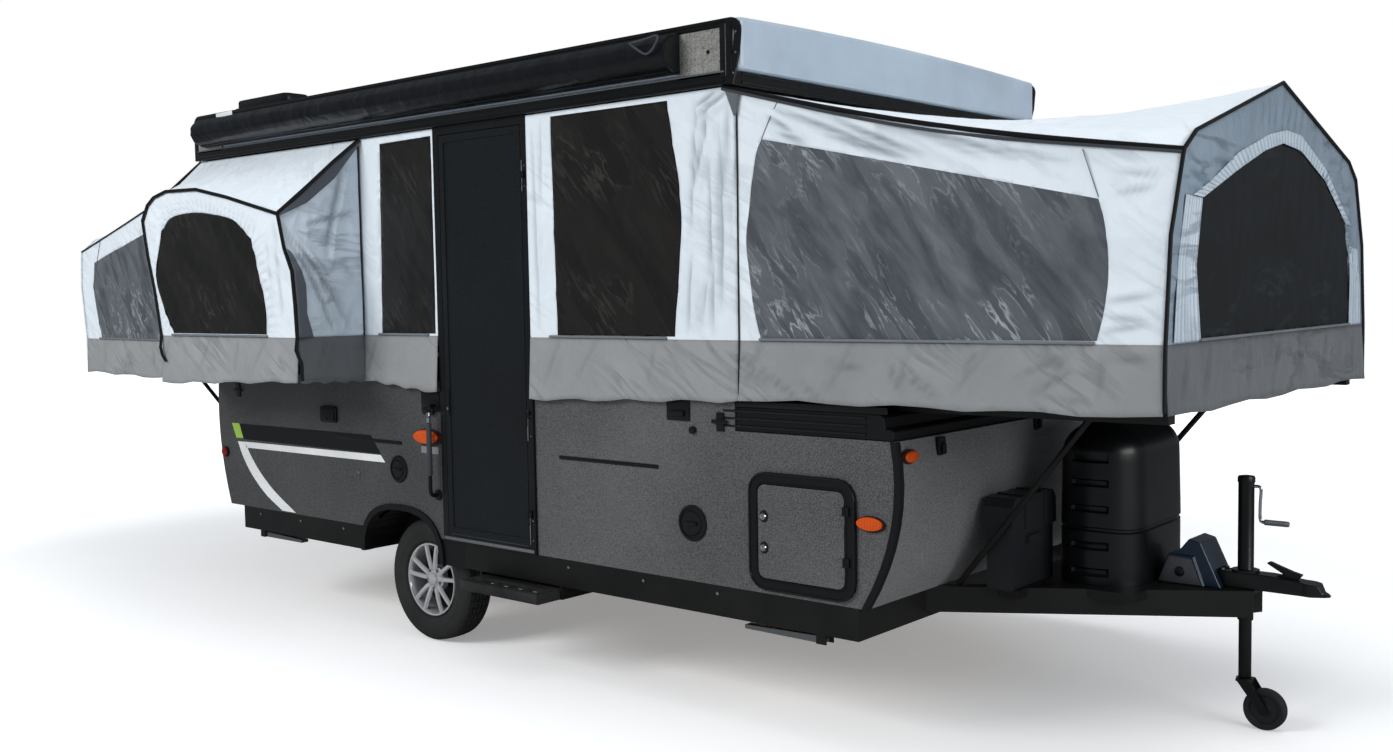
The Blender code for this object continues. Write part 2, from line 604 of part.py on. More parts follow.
def knuckle(at, low, high, way):
    """A hinge knuckle on its axis with a leaf that reaches towards the piece it is fixed to."""
    barrel = cylinder("barrel", (at[0], at[1], (low + high) / 2), 2, KNUCKLE_RADIUS, high - low, 12)
    x = sorted((at[0] + way * 0.0022, at[0] + way * 0.020))
    leaf = block("leaf", x, (at[1] - 0.001, at[1] + KNUCKLE_RADIUS + 0.0025), (low, high))
    return combine(barrel, [leaf], "UNION")


def knuckles(at, heights, way):
    """The door's knuckles (way -1) below the frame's (way 1) at each height."""
    reach = 0.030
    if way < 0:
        return [knuckle(at, z, z + reach, way) for z in heights]
    return [knuckle(at, z + reach + GAP, z + 2 * reach, way) for z in heights]


door_hinges = (FRAME_TOP + 0.118, FRAME_TOP + 0.518, DOOR_TOP - 0.277)
combine(door_frame, knuckles(hinge, door_hinges, 1), "UNION")
finish_object(door_frame, "black_frame")
door = block("entry_door", (DOOR_REAR + DOOR_FRAME_WIDTH + 0.003, DOOR_FRONT - DOOR_FRAME_WIDTH - 0.003),
             (frame_y[0], frame_y[0] + DOOR_THICKNESS),
             (FRAME_TOP + DOOR_SILL + 0.003, DOOR_TOP - DOOR_FRAME_WIDTH - 0.003))
door_inner_x = (DOOR_REAR + DOOR_FRAME_WIDTH + DOOR_BORDER, DOOR_FRONT - DOOR_FRAME_WIDTH - DOOR_BORDER)
door_inner_z = (FRAME_TOP + DOOR_SILL + DOOR_BORDER, DOOR_TOP - DOOR_FRAME_WIDTH - DOOR_BORDER)
combine(door, [extruded("recess", rounded_rectangle(door_inner_x, door_inner_z, 0.012, 3), 1,
                        frame_y[0] - 0.02, frame_y[0] + DOOR_RECESS)], "DIFFERENCE")
combine(door, knuckles(hinge, door_hinges, -1), "UNION")
finish_object(door, "black_door")

# Grab handle: a bent rod beside the door, on two feet
handle_x = DOOR_REAR - 0.040
handle_y = -BOX_HALF_WIDTH - 0.045
handle_z = (FRAME_TOP + 0.190, BOX_TOP - 0.110)
handle = rod("grab_handle", (handle_x, handle_y, handle_z[0]), (handle_x, handle_y, handle_z[1]), 0.009, 10)
feet = []
for z in handle_z:
    feet.append(cylinder("foot", (handle_x, (handle_y - BOX_HALF_WIDTH - GAP) / 2, z), 1, 0.009,
                         -BOX_HALF_WIDTH - GAP - handle_y, 10))
    feet.append(cylinder("base", (handle_x, -BOX_HALF_WIDTH - GAP - 0.004, z), 1, 0.022, 0.008, 14))
combine(handle, feet, "UNION")
finish_object(handle, "black_plastic", 40)

# Hatch of the front trunk
hatch_y = (-BOX_HALF_WIDTH - 0.012, -BOX_HALF_WIDTH + 0.018)
hatch_frame = hatch_ring("hatch_frame", 0.0125, hatch_y[0] + 0.001, hatch_y[1])
flange = hatch_ring("hatch_flange", 0.0, hatch_y[0], -BOX_HALF_WIDTH - GAP)
combine(hatch_frame, [flange], "UNION")
combine(hatch_frame, [hatch_ring("hatch_way", HATCH_FRAME_WIDTH, -BOX_HALF_WIDTH - 0.1, 0)], "DIFFERENCE")
hatch_hinge = (HATCH_FRONT - HATCH_FRAME_WIDTH - 0.0015, hatch_y[0] - KNUCKLE_RADIUS - 0.0005)
hatch_hinges = (HATCH_BOTTOM + 0.090, HATCH_TOP - 0.150)
combine(hatch_frame, knuckles(hatch_hinge, hatch_hinges, 1), "UNION")
finish_object(hatch_frame, "black_plastic")
hatch = hatch_ring("hatch_door", HATCH_FRAME_WIDTH + 0.003, hatch_y[0], hatch_y[0] + HATCH_THICKNESS)
combine(hatch, knuckles(hatch_hinge, hatch_hinges, -1), "UNION")
finish_object(hatch, "panel_grey")

# Pull-out entry step between its guides
tread_y = (-FRAME_HALF_WIDTH - STEP_OUT, -FRAME_HALF_WIDTH - STEP_OUT + STEP_LENGTH)
step = block("entry_step", (STEP_REAR, STEP_FRONT), tread_y, (STEP_BOTTOM, STEP_TOP))
slots = [block("hollow", (STEP_REAR + 0.012, STEP_FRONT - 0.012), (tread_y[0] + 0.012, tread_y[1] - 0.012),
               (STEP_BOTTOM - 0.01, STEP_TOP - 0.008))]
slot_pitch = (STEP_FRONT - STEP_REAR - 0.04) / STEP_SLOTS
for i in range(STEP_SLOTS):
    x = STEP_REAR + 0.02 + slot_pitch * (i + 0.5)
    slot = rounded_rectangle((x - slot_pitch * 0.32, x + slot_pitch * 0.32),
                             (tread_y[0] + 0.030, tread_y[0] + 0.060), 0.012, 2)
    slots.append(extruded("slot", slot, 2, STEP_BOTTOM - 0.01, STEP_TOP + 0.01))
combine(step, slots, "DIFFERENCE")
finish_object(step, "black_frame")

# Corner steadies, folded up under the frame between their ears
for (x, way), label in zip(STEADIES, ("front", "rear")):
    for side, hand in ((-1, "curb"), (1, "street")):
        y = side * STEADY_Y
        z = STEADY_Z
        outline = arc((x, z), 0.012, 90, 270, 6) if way > 0 else arc((x, z), 0.012, -90, 90, 6)
        far = x + way * STEADY_LENGTH
        foot = [(far, z - 0.010), (far, z + 0.004)]
        outline += foot if way > 0 else foot[::-1]
        leg = extruded("steady_%s_%s" % (label, hand), outline, 1, y - STEADY_WIDTH / 2, y + STEADY_WIDTH / 2)
        finish_object(leg, "zinc")

# Lift posts, from the floor to the roof
POST_BOTTOM = floor_z[1] + GAP
for x, label in ((POST_REAR_X, "rear"), (POST_FRONT_X, "front")):
    for side, hand in ((-1, "curb"), (1, "street")):
        y = side * POST_Y
        post = block("lift_post_%s_%s" % (label, hand), (x - POST_SIZE / 2, x + POST_SIZE / 2),
                     (y - POST_SIZE / 2, y + POST_SIZE / 2), (POST_BOTTOM, ROOF_TOP - ROOF_WALL - 0.0006))
        finish_object(post, "zinc")

# Roof: a hollow lid with a crowned top on a black rail
RAIL_TOP = ROOF_BOTTOM + ROOF_RAIL_HEIGHT
rail = block("roof_rail", (ROOF_REAR, ROOF_FRONT), (-ROOF_HALF_WIDTH, ROOF_HALF_WIDTH),
             (ROOF_BOTTOM, RAIL_TOP))
combine(rail, [block("inside", (ROOF_REAR + ROOF_RAIL_WIDTH, ROOF_FRONT - ROOF_RAIL_WIDTH),
                     (-ROOF_HALF_WIDTH + ROOF_RAIL_WIDTH, ROOF_HALF_WIDTH - ROOF_RAIL_WIDTH),
                     (ROOF_BOTTOM - 0.1, RAIL_TOP + 0.1))], "DIFFERENCE")


def roof_side(inset):
    """Outline of the roof's side in x and z: upright at the rear, bulged at the front, round at the top."""
    low, high = ROOF_BOTTOM + inset, ROOF_TOP - inset
    rear, fore = ROOF_REAR + inset, ROOF_FRONT - inset
    radius = ROOF_TRIM - inset * 0.6
    points = [(rear, low), (fore, low), (fore + ROOF_NOSE * 0.8, (low + high) / 2 - 0.01)]
    points.append((fore + ROOF_NOSE, high - radius))
    points += arc((fore + ROOF_NOSE - radius, high - radius), radius, 15, 90, 5)
    points += arc((rear + radius, high - radius), radius, 90, 180, 5)
    return points


side_frames = []
for side in (-1, 1):
    frame = extruded("side_frame", roof_side(0.0), 1,
                     *side_span(side, ROOF_HALF_WIDTH - ROOF_TRIM_THICKNESS, ROOF_HALF_WIDTH))
    combine(frame, [extruded("inside", roof_side(ROOF_TRIM * 0.6), 1, -2, 2)], "DIFFERENCE")
    side_frames.append(frame)
combine(rail, side_frames, "UNION")
finish_object(rail, "black_frame")

shell_y = ROOF_HALF_WIDTH - ROOF_TRIM_THICKNESS - GAP
outline = [(-shell_y, RAIL_TOP + GAP), (shell_y, RAIL_TOP + GAP)]
for i in range(13):
    share = i / 12
    y = shell_y * (1 - 2 * share)
    outline.append((y, ROOF_TOP + ROOF_CROWN * (1 - (y / shell_y) ** 2)))
roof = extruded("roof_shell", outline, 0, ROOF_REAR + 0.006, ROOF_FRONT + ROOF_NOSE - 0.006)
combine(roof, [block("inside", (ROOF_REAR + ROOF_WALL, ROOF_FRONT - ROOF_WALL),
                     (-shell_y + ROOF_WALL, shell_y - ROOF_WALL),
                     (RAIL_TOP - 0.1, ROOF_TOP - ROOF_WALL))], "DIFFERENCE")
finish_object(bevelled(roof, 0.022, 2, 60), "roof_white", 30)

# Awning bag: a roll on a rail along the curb side of the roof
bag_mid = (BAG_BOTTOM + BAG_TOP) / 2
bag_half = (BAG_TOP - BAG_BOTTOM) / 2
bag_back = -ROOF_HALF_WIDTH - GAP
bag_outline = [(bag_back, BAG_BOTTOM), (bag_back, BAG_TOP - 0.004), (bag_back - 0.014, BAG_TOP),
               (bag_back - 0.022, BAG_TOP - 0.006), (bag_back - 0.024, BAG_TOP - 0.016)]
for i in range(9):
    angle = math.radians(125 + 130 * i / 8)
    bag_outline.append((bag_back - 0.02 + (BAG_DEPTH - 0.03) * math.cos(angle),
                        bag_mid + bag_half * 0.92 * math.sin(angle)))
bag_outline += [(bag_back - 0.034, BAG_BOTTOM + 0.006), (bag_back - 0.030, BAG_BOTTOM)]
bag = extruded("awning_bag", bag_outline, 0, BAG_REAR, BAG_FRONT)
finish_object(bag, "awning_cloth", 40)
vent_base = ROOF_TOP + ROOF_CROWN + GAP
bm = bmesh.new()
rings = []
for inset, rise in ((0.0, 0.0), (0.0, 0.30), (0.012, 0.42), (0.012, 0.55), (0.026, 0.85), (0.060, 1.0)):
    corners = rounded_rectangle((VENT_REAR + inset, VENT_REAR + VENT_SIZE - inset),
                                (VENT_Y + inset, VENT_Y + VENT_SIZE - inset), 0.05, 3)
    rings.append([bm.verts.new((x, y, vent_base + rise * VENT_HEIGHT)) for x, y in corners])
for lower, upper in zip(rings, rings[1:]):
    for i in range(len(lower)):
        j = (i + 1) % len(lower)
        bm.faces.new((lower[i], lower[j], upper[j], upper[i]))
bm.faces.new(rings[0])
bm.faces.new(rings[-1])
vent = object_from(bm, "roof_vent")
finish_object(vent, "black_plastic", 30)

# Bunk decks and their struts
deck_z = (DECK_TOP - DECK_THICKNESS, DECK_TOP)
FRONT_END = ROOF_FRONT + BUNK_REACH
REAR_END = ROOF_REAR - BUNK_REACH
for label, x in (("front", (POST_FRONT_X + 0.03, FRONT_END - 0.02)),
                 ("rear", (REAR_END + 0.02, POST_REAR_X - 0.03))):
    deck = block(label + "_bunk_deck", x, (-BUNK_END_HALF + 0.02, BUNK_END_HALF - 0.02), deck_z)
    rails = []
    for side in (-1, 1):
        low, high = side_span(side, SLIDE_RAIL_Y, SLIDE_RAIL_Y + SLIDE_RAIL_WIDTH)
        lift = TRUNK_TOP + LID_HEIGHT if label == "front" else BOX_TOP
        rails.append(block("slide_rail", x, (low, high), (lift + GAP, deck_z[0] + 0.005)))
    combine(deck, rails, "UNION")
    finish_object(deck, "plywood")
side_x = (TENT_REAR + 0.215, SIDE_TENT_FRONT - 0.035)
SIDE_OUTER_Y = -TENT_OUTER_Y - SIDE_TENT_REACH
deck = block("side_bunk_deck", side_x, (SIDE_OUTER_Y + 0.02, -BUNK_END_HALF - 0.005), deck_z)
combine(deck, [block("ledge", (side_x[0] + 0.05, side_x[1] - 0.05),
                     (-BOX_HALF_WIDTH + 0.001, -BOX_HALF_WIDTH + 0.050),
                     (BOX_TOP + GAP, deck_z[0] + 0.005))], "UNION")
finish_object(deck, "plywood")

# Tongue: an A-frame with a plate at its point
tongue = None
beams = []
for side in (-1, 1):
    start = Vector((FRAME_FRONT + GAP, side * TONGUE_HALF))
    end = Vector((TONGUE_FRONT, side * 0.030))
    sideways = Vector((-(end - start).y, (end - start).x)).normalized() * (TONGUE_WIDTH / 2)
    slope = (end.y - start.y) / (end.x - start.x)
    outline = []
    for point, sign in ((start, 1), (end, 1), (end, -1), (start, -1)):
        p = point + sideways * sign
        if point is start:
            p = Vector((FRAME_FRONT + GAP, p.y + slope * (FRAME_FRONT + GAP - p.x)))
        outline.append((p.x, p.y))
    beams.append(extruded("tongue_beam", outline, 2, TONGUE_TOP - TONGUE_HEIGHT, TONGUE_TOP))
plate_rear, plate_front = TONGUE_FRONT - 0.285, TONGUE_FRONT + 0.015
plate = [(plate_rear, -0.22), (plate_front, -0.045), (plate_front, 0.045), (plate_rear, 0.22)]
beams.append(extruded("plate", plate, 2, TONGUE_TOP - 0.012, TONGUE_TOP - 0.0002))
tray_half = GAS_SPACING / 2 + GAS_RADIUS + 0.055
beams.append(block("tray", (GAS_X - 0.20, GAS_X + 0.19), (-tray_half, tray_half),
                   (TONGUE_TOP - 0.03, TONGUE_TOP - 0.0002)))
bar_half = TONGUE_HALF - 0.100
beams.append(block("battery_bar", (BATTERY_REAR - 0.02, BATTERY_FRONT + 0.02), (-bar_half, bar_half),
                   (TONGUE_TOP - 0.03, TONGUE_TOP - 0.0002)))
tongue = beams.pop(0)
tongue.name = "tongue_frame"
combine(tongue, beams, "UNION")
combine(tongue, [cylinder("jack_hole", (JACK_X, 0, TONGUE_TOP), 2, JACK_RADIUS + GAP, 0.3, 24)], "DIFFERENCE")
finish_object(tongue, "black_frame")

# Coupler: a stamped channel with a ball socket, open below, and its latch lever
top = TONGUE_TOP + GAP
coupler_rear = JACK_X - 0.138
coupler_tip = coupler_rear + COUPLER_LENGTH
ball_x = coupler_tip - 0.064
half_outline = [(coupler_rear, 0.030), (coupler_rear + 0.110, 0.034)] + arc((ball_x, 0.0), 0.040, 115, 60, 4)
half_outline += [(ball_x + 0.052, 0.016), (coupler_tip, 0.0)]
outline = half_outline + [(x, -y) for x, y in reversed(half_outline[:-1])]
coupler = extruded("coupler", outline, 2, top, top + COUPLER_HEIGHT)
slope_cut = [(JACK_X + 0.090, top + COUPLER_HEIGHT + 0.02), (JACK_X + 0.090, top + COUPLER_HEIGHT),
             (ball_x - 0.030, top + COUPLER_HEIGHT * 0.82), (ball_x + 0.028, top + COUPLER_HEIGHT * 0.74),
             (ball_x + 0.042, top + 0.014), (coupler_tip + 0.02, top + 0.006),
             (coupler_tip + 0.02, top + COUPLER_HEIGHT + 0.02)]
combine(coupler, [extruded("slope", slope_cut, 1, -0.1, 0.1),
                  cylinder("socket", (ball_x, 0, top), 2, 0.026, 0.070, 24),
                  cylinder("jack_hole", (JACK_X, 0, TONGUE_TOP), 2, JACK_RADIUS + GAP, 0.3, 24)], "DIFFERENCE")
lever_x = ball_x - 0.135
lever_z = top + COUPLER_HEIGHT - 0.008
lever = [(lever_x, lever_z), (lever_x + 0.095, lever_z), (lever_x + 0.110, lever_z + 0.018),
         (lever_x + 0.078, lever_z + 0.026), (lever_x + 0.004, lever_z + 0.052),
         (lever_x - 0.006, lever_z + 0.046), (lever_x + 0.050, lever_z + 0.014)]
combine(coupler, [extruded("lever", lever, 1, -0.012, 0.012)], "UNION")
finish_object(bevelled(coupler, 0.003, 1), "black_frame")

# Tongue jack with a side crank, a swivelling fork and its caster wheel
jack = cylinder("jack_tube", (JACK_X, 0, (JACK_SLEEVE_BOTTOM + JACK_TOP) / 2), 2, JACK_RADIUS,
                JACK_TOP - JACK_SLEEVE_BOTTOM, 24)
inner_top = JACK_SLEEVE_BOTTOM + 0.02
inner = cylinder("inner_tube", (JACK_X, 0, (JACK_INNER_BOTTOM + inner_top) / 2), 2, JACK_INNER_RADIUS,
                 inner_top - JACK_INNER_BOTTOM, 24)
flange = cylinder("flange", (JACK_X, 0, top + COUPLER_HEIGHT + GAP + 0.004), 2, 0.045, 0.008, 24)
combine(jack, [inner, flange], "UNION")
finish_object(jack, "black_frame", 35)

fork_top = JACK_INNER_BOTTOM - GAP
fork_half = CASTER_WIDTH / 2 + 0.004
wheel_x = JACK_X + CASTER_TRAIL
fork = cylinder("caster_fork", (JACK_X, 0, fork_top - 0.006), 2, 0.028, 0.012, 20)
legs = []
for side in (-1, 1):
    low, high = side_span(side, fork_half, fork_half + 0.004)
    outline = [(JACK_X - 0.022, fork_top - 0.002), (JACK_X + 0.026, fork_top - 0.002)]
    outline += arc((wheel_x, CASTER_RADIUS), 0.015, 40, -130, 8)
    legs.append(extruded("leg", outline, 1, low, high))
legs.append(block("crown", (JACK_X - 0.022, JACK_X + 0.026), (-fork_half - 0.002, fork_half + 0.002),
                  (fork_top - 0.010, fork_top - 0.002)))
legs.append(cylinder("pin", (wheel_x, 0, CASTER_RADIUS), 1, 0.007, 2 * fork_half + 0.012, 16))
combine(fork, legs, "UNION")
finish_object(fork, "zinc")
wheel_half = CASTER_WIDTH / 2
profile = [(0.0078, wheel_half * 0.8), (0.020, wheel_half * 0.8), (0.024, wheel_half * 0.45),
           (0.048, wheel_half * 0.45), (0.052, wheel_half * 0.9), (CASTER_RADIUS - 0.006, wheel_half),
           (CASTER_RADIUS, wheel_half * 0.55)]
profile += [(r, -s) for r, s in reversed(profile)]
caster = turned("caster_wheel", profile, (wheel_x, 0.0, CASTER_RADIUS), 1, 24)
finish_object(caster, "rubber", 35)

crank_x = JACK_X + JACK_RADIUS + GAP
crank = cylinder("jack_crank", (crank_x + 0.012, 0, CRANK_Z), 0, 0.006, 0.024, 12)
combine(crank, [block("arm", (crank_x + 0.016, crank_x + 0.022), (-0.008, 0.008),
                      (CRANK_Z - CRANK_ARM - 0.007, CRANK_Z + 0.008)),
                cylinder("grip", (crank_x + 0.067, 0, CRANK_Z - CRANK_ARM), 0, 0.009, 0.096, 12)], "UNION")
finish_object(crank, "zinc")


# Gas bottle cover: a rounded double shell that tapers to a domed top
def stadium(radius, spacing, x, z, steps=9):
    points = []
    for i in range(steps + 1):
        angle = math.pi * i / steps
        points.append((x + radius * math.cos(angle), spacing / 2 + radius * math.sin(angle), z))
    for i in range(steps + 1):
        angle = math.pi * (1 + i / steps)
        points.append((x + radius * math.cos(angle), -spacing / 2 + radius * math.sin(angle), z))
    return points


cover_base = TONGUE_TOP + GAP
height = GAS_TOP - cover_base
bm = bmesh.new()
rings = []
for share, grow in ((0.0, 0.0), (0.33, 0.0), (0.345, -0.007), (0.36, 0.0), (0.78, -0.004), (0.87, -0.014),
                    (0.94, -0.036), (0.98, -0.066), (1.0, -0.110)):
    ring = stadium(GAS_RADIUS + grow, GAS_SPACING, GAS_X, cover_base + share * height)
    rings.append([bm.verts.new(p) for p in ring])
for lower, upper in zip(rings, rings[1:]):
    for i in range(len(lower)):
        j = (i + 1) % len(lower)
        bm.faces.new((lower[i], lower[j], upper[j], upper[i]))
bm.faces.new(rings[0])
bm.faces.new(rings[-1])
cover = object_from(bm, "gas_bottle_cover")
cover_side = -GAS_SPACING / 2 - GAS_RADIUS
grips = []
for share in (0.085, 0.245, 0.475, 0.64, 0.79):
    grip = rounded_rectangle((GAS_X - 0.060, GAS_X + 0.045), (-0.012, 0.012), 0.0115, 2)
    grip = [(x, cover_base + share * height + z) for x, z in grip]
    grips.append(extruded("grip", grip, 1, cover_side - 0.02, cover_side + 0.012))
combine(cover, grips, "DIFFERENCE")
finish_object(cover, "black_plastic", 30)

# Battery box: a tub under a deeper lid with a chamfered top, a rib and a hand hold
battery_y = (BATTERY_Y, BATTERY_Y + BATTERY_LENGTH)
lid_low = BATTERY_TOP - BATTERY_LID
battery = block("battery_box", (BATTERY_REAR, BATTERY_FRONT), battery_y, (TONGUE_TOP + GAP, lid_low + 0.02))
lid_outline = [(battery_y[0] - 0.008, lid_low), (battery_y[1] + 0.008, lid_low),
               (battery_y[1] + 0.004, BATTERY_TOP - 0.030), (battery_y[1] - 0.020, BATTERY_TOP),
               (battery_y[0] + 0.020, BATTERY_TOP), (battery_y[0] - 0.004, BATTERY_TOP - 0.030)]
ribs = [extruded("lid", lid_outline, 0, BATTERY_REAR - 0.008, BATTERY_FRONT + 0.010)]
for y in (battery_y[0] + 0.09, battery_y[1] - 0.09):
    ribs.append(block("rib", (BATTERY_REAR - 0.004, BATTERY_FRONT + 0.016), (y - 0.008, y + 0.008),
                      (lid_low + 0.006, BATTERY_TOP + 0.006)))
middle_y = (battery_y[0] + battery_y[1]) / 2
ribs.append(block("hand_hold", (BATTERY_FRONT - 0.002, BATTERY_FRONT + 0.014),
                  (middle_y - 0.05, middle_y + 0.05), (lid_low - 0.045, lid_low - 0.020)))
combine(battery, ribs, "UNION")
finish_object(battery, "black_plastic")

# Tongue cover: a wedge-shaped housing behind the jack
outline = [(JACK_X - 0.273, top), (JACK_X - 0.058, top), (JACK_X - 0.128, top + 0.150),
           (JACK_X - 0.168, top + 0.160), (JACK_X - 0.203, top + 0.115)]
wedge = extruded("tongue_cover", outline, 1, -0.075, 0.075)
cheek = [(JACK_X - 0.278, top), (JACK_X - 0.114, top), (JACK_X - 0.150, top + 0.100),
         (JACK_X - 0.238, top + 0.104)]
combine(wedge, [extruded("cheek", cheek, 1, -0.083, 0.083),
                cylinder("boss", (JACK_X - 0.195, 0, top + 0.045), 1, 0.020, 0.176, 20)], "UNION")
combine(wedge, [block("coupler_room", (coupler_rear - 0.005, JACK_X + 0.1), (-0.040, 0.040),
                      (top - 0.1, top + COUPLER_HEIGHT + 0.0015))], "DIFFERENCE")
finish_object(bevelled(wedge, 0.006, 1), "black_plastic")


# Tents: sheets given a thickness, standing from the box to the roof rail
def sheet(name, faces, inside, finish="tent_white"):
    """A sheet of faces, each a list of points, made CLOTH thick towards a point inside it."""
    bm = bmesh.new()
    for face in faces:
        bm.faces.new([bm.verts.new(p) for p in face])
    bmesh.ops.remove_doubles(bm, verts=bm.verts, dist=0.0001)
    bmesh.ops.recalc_face_normals(bm, faces=bm.faces)
    inside = Vector(inside)
    facing = sum(face.calc_area() * face.normal.dot(face.calc_center_median() - inside) for face in bm.faces)
    if facing < 0:
        bmesh.ops.reverse_faces(bm, faces=bm.faces)
    mesh = bpy.data.meshes.new(name)
    bm.to_mesh(mesh)
    bm.free()
    obj = bpy.data.objects.new(name, mesh)
    bpy.context.collection.objects.link(obj)
    modifier = obj.modifiers.new("cloth", "SOLIDIFY")
    modifier.thickness = CLOTH
    modifier.offset = -1.0
    modifier.use_even_offset = True
    return finish_object(obj, finish)


TENT_TOP = ROOF_BOTTOM - GAP
BOW_Z = SKIRT_TOP + 0.555 * (EAVE_Z - SKIRT_TOP)
root_half = [(TENT_OUTER_Y, SKIRT_BOTTOM), (TENT_OUTER_Y, SKIRT_TOP), (TENT_OUTER_Y, BOW_Z + 0.140),
             (TENT_OUTER_Y, TENT_TOP), (TENT_OUTER_Y - 0.115, TENT_TOP), (0.0, TENT_TOP)]
end_half = [(BUNK_END_HALF, SKIRT_BOTTOM), (BUNK_END_HALF, SKIRT_TOP), (BUNK_END_HALF - 0.035, BOW_Z),
            (EAVE_HALF, EAVE_Z), (SHOULDER_HALF, SHOULDER_Z), (0.0, PEAK_Z)]


def bunk_tent(name, root_x, end_x):
    root = [(-y, z) for y, z in root_half] + [(y, z) for y, z in reversed(root_half[:-1])]
    end = [(-y, z) for y, z in end_half] + [(y, z) for y, z in reversed(end_half[:-1])]
    faces = [[Vector((end_x, y, z)) for y, z in end]]
    for i in range(len(root) - 1):
        a, b = Vector((root_x, *root[i])), Vector((end_x, *end[i]))
        c, d = Vector((end_x, *end[i + 1])), Vector((root_x, *root[i + 1]))
        faces += [[a, b, c], [a, c, d]]
    return sheet(name, faces, ((root_x + end_x) / 2, 0.0, 1.6))


bunk_tent("front_bunk_tent", TENT_CORNER + 0.004, FRONT_END)
bunk_tent("rear_bunk_tent", TENT_REAR - 0.004, REAR_END)


def wall_tent(name, x, side):
    low, high = sorted((side * (TENT_OUTER_Y - CLOTH), side * TENT_OUTER_Y))
    wall = block(name, x, (low, high), (WALL_SKIRT_BOTTOM, TENT_TOP))
    return finish_object(wall, "tent_white")


wall_tent("street_wall_tent", (TENT_REAR, TENT_CORNER), 1)
wall_tent("curb_wall_tent_front", (DOOR_FRONT + GAP, TENT_CORNER), -1)
wall_tent("curb_wall_tent_rear", (SIDE_TENT_FRONT + GAP, DOOR_REAR - GAP), -1)

# Side bunk tent: an outer face under a bow, joined to the wall line and the roof rail
x_rear, x_front = TENT_REAR, SIDE_TENT_FRONT
y_wall, y_out = -TENT_OUTER_Y, SIDE_OUTER_Y
span = x_front - x_rear
outer_face = [(x_rear + 0.172, SKIRT_BOTTOM), (x_rear + 0.172, SKIRT_TOP), (x_rear + 0.075, BOW_Z + 0.085),
              (x_rear + 0.036, EAVE_Z + 0.008), (x_rear + 0.156, EAVE_Z + 0.113),
              (x_rear + 0.270, EAVE_Z + 0.137), (x_rear + 0.55 * span, EAVE_Z + 0.113),
              (x_front - 0.115, EAVE_Z - 0.015), (x_front - 0.026, BOW_Z - 0.020),
              (x_front - 0.006, SKIRT_TOP), (x_front - 0.006, SKIRT_BOTTOM)]
outer_points = [Vector((x, y_out, z)) for x, z in outer_face]
wall_points = [Vector((x_rear, y_wall, z)) for z in (SKIRT_BOTTOM, SKIRT_TOP, BOW_Z + 0.085, TENT_TOP)]
wall_points += [Vector((x_rear + share * span, y_wall, TENT_TOP)) for share in (0.12, 0.20, 0.55, 1.0)]
wall_points += [Vector((x_front, y_wall, z)) for z in (BOW_Z - 0.020, SKIRT_TOP, SKIRT_BOTTOM)]
faces = [outer_points]
for i in range(len(outer_points) - 1):
    a, b, c, d = outer_points[i], outer_points[i + 1], wall_points[i + 1], wall_points[i]
    faces.append([a, d, c])
    faces.append([a, c, b])
sheet("side_bunk_tent", faces, ((x_rear + x_front) / 2, y_wall, 1.6))

# Struts under the bunks: the front ones stand on the tongue, the rear ones on brackets behind the frame
beam_slope = (0.030 - TONGUE_HALF) / (TONGUE_FRONT - FRAME_FRONT)


def strut_between(name, foot, top):
    """A tube whose slanted ends just clear the faces it stands on and holds up."""
    way = Vector(top) - Vector(foot)
    rise = STRUT_RADIUS * Vector((way.x, way.y)).length / way.length + GAP
    return rod(name, (foot[0], foot[1], foot[2] + rise), (top[0], top[1], top[2] - rise), STRUT_RADIUS)


for side, hand in ((-1, "curb"), (1, "street")):
    top_y = side * STRUT_TOP_Y
    foot = (FRAME_FRONT + STRUT_FOOT, side * (TONGUE_HALF + beam_slope * STRUT_FOOT), TONGUE_TOP)
    strut = strut_between("strut_front_" + hand, foot, (FRONT_END - STRUT_TOP_INSET, top_y, deck_z[0]))
    finish_object(strut, "black_frame", 40)
    foot = (FRAME_REAR - STRUT_FOOT * 2, top_y, FRAME_BOTTOM - GAP)
    strut = strut_between("strut_rear_" + hand, foot, (REAR_END + STRUT_TOP_INSET, top_y, deck_z[0]))
    bracket_y = (top_y - 0.015, top_y + 0.015)
    low = foot[2] - 0.012
    bracket = block("bracket", (foot[0] - 0.014, FRAME_REAR + RAIL_WIDTH / 2), bracket_y, (low, foot[2]))
    lug = block("lug", (foot[0] - 0.014, foot[0] + 0.014), bracket_y, (low, foot[2] + 0.020))
    combine(strut, [bracket, lug], "UNION")
    finish_object(strut, "black_frame", 40)

# One empty carries the trailer, with the middle of its footprint at the origin
bpy.context.view_layer.update()
graph = bpy.context.evaluated_depsgraph_get()
low, high = [1e9, 1e9], [-1e9, -1e9]
nodes = [obj for obj in bpy.context.scene.objects if obj.type == "MESH"]
for obj in nodes:
    shown = obj.evaluated_get(graph)
    for vert in shown.data.vertices:
        spot = obj.matrix_world @ vert.co
        for axis in (0, 1):
            low[axis] = min(low[axis], spot[axis])
            high[axis] = max(high[axis], spot[axis])
carrier = bpy.data.objects.new("trailer", None)
bpy.context.collection.objects.link(carrier)
for obj in nodes:
    obj.parent = carrier
carrier.location = (-(low[0] + high[0]) / 2, -(low[1] + high[1]) / 2, 0.0)
bpy.context.view_layer.update()
print("footprint", low, high, "nodes", len(nodes))
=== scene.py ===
import math

import bmesh
import bpy
import numpy
from mathutils import Matrix, Vector, noise


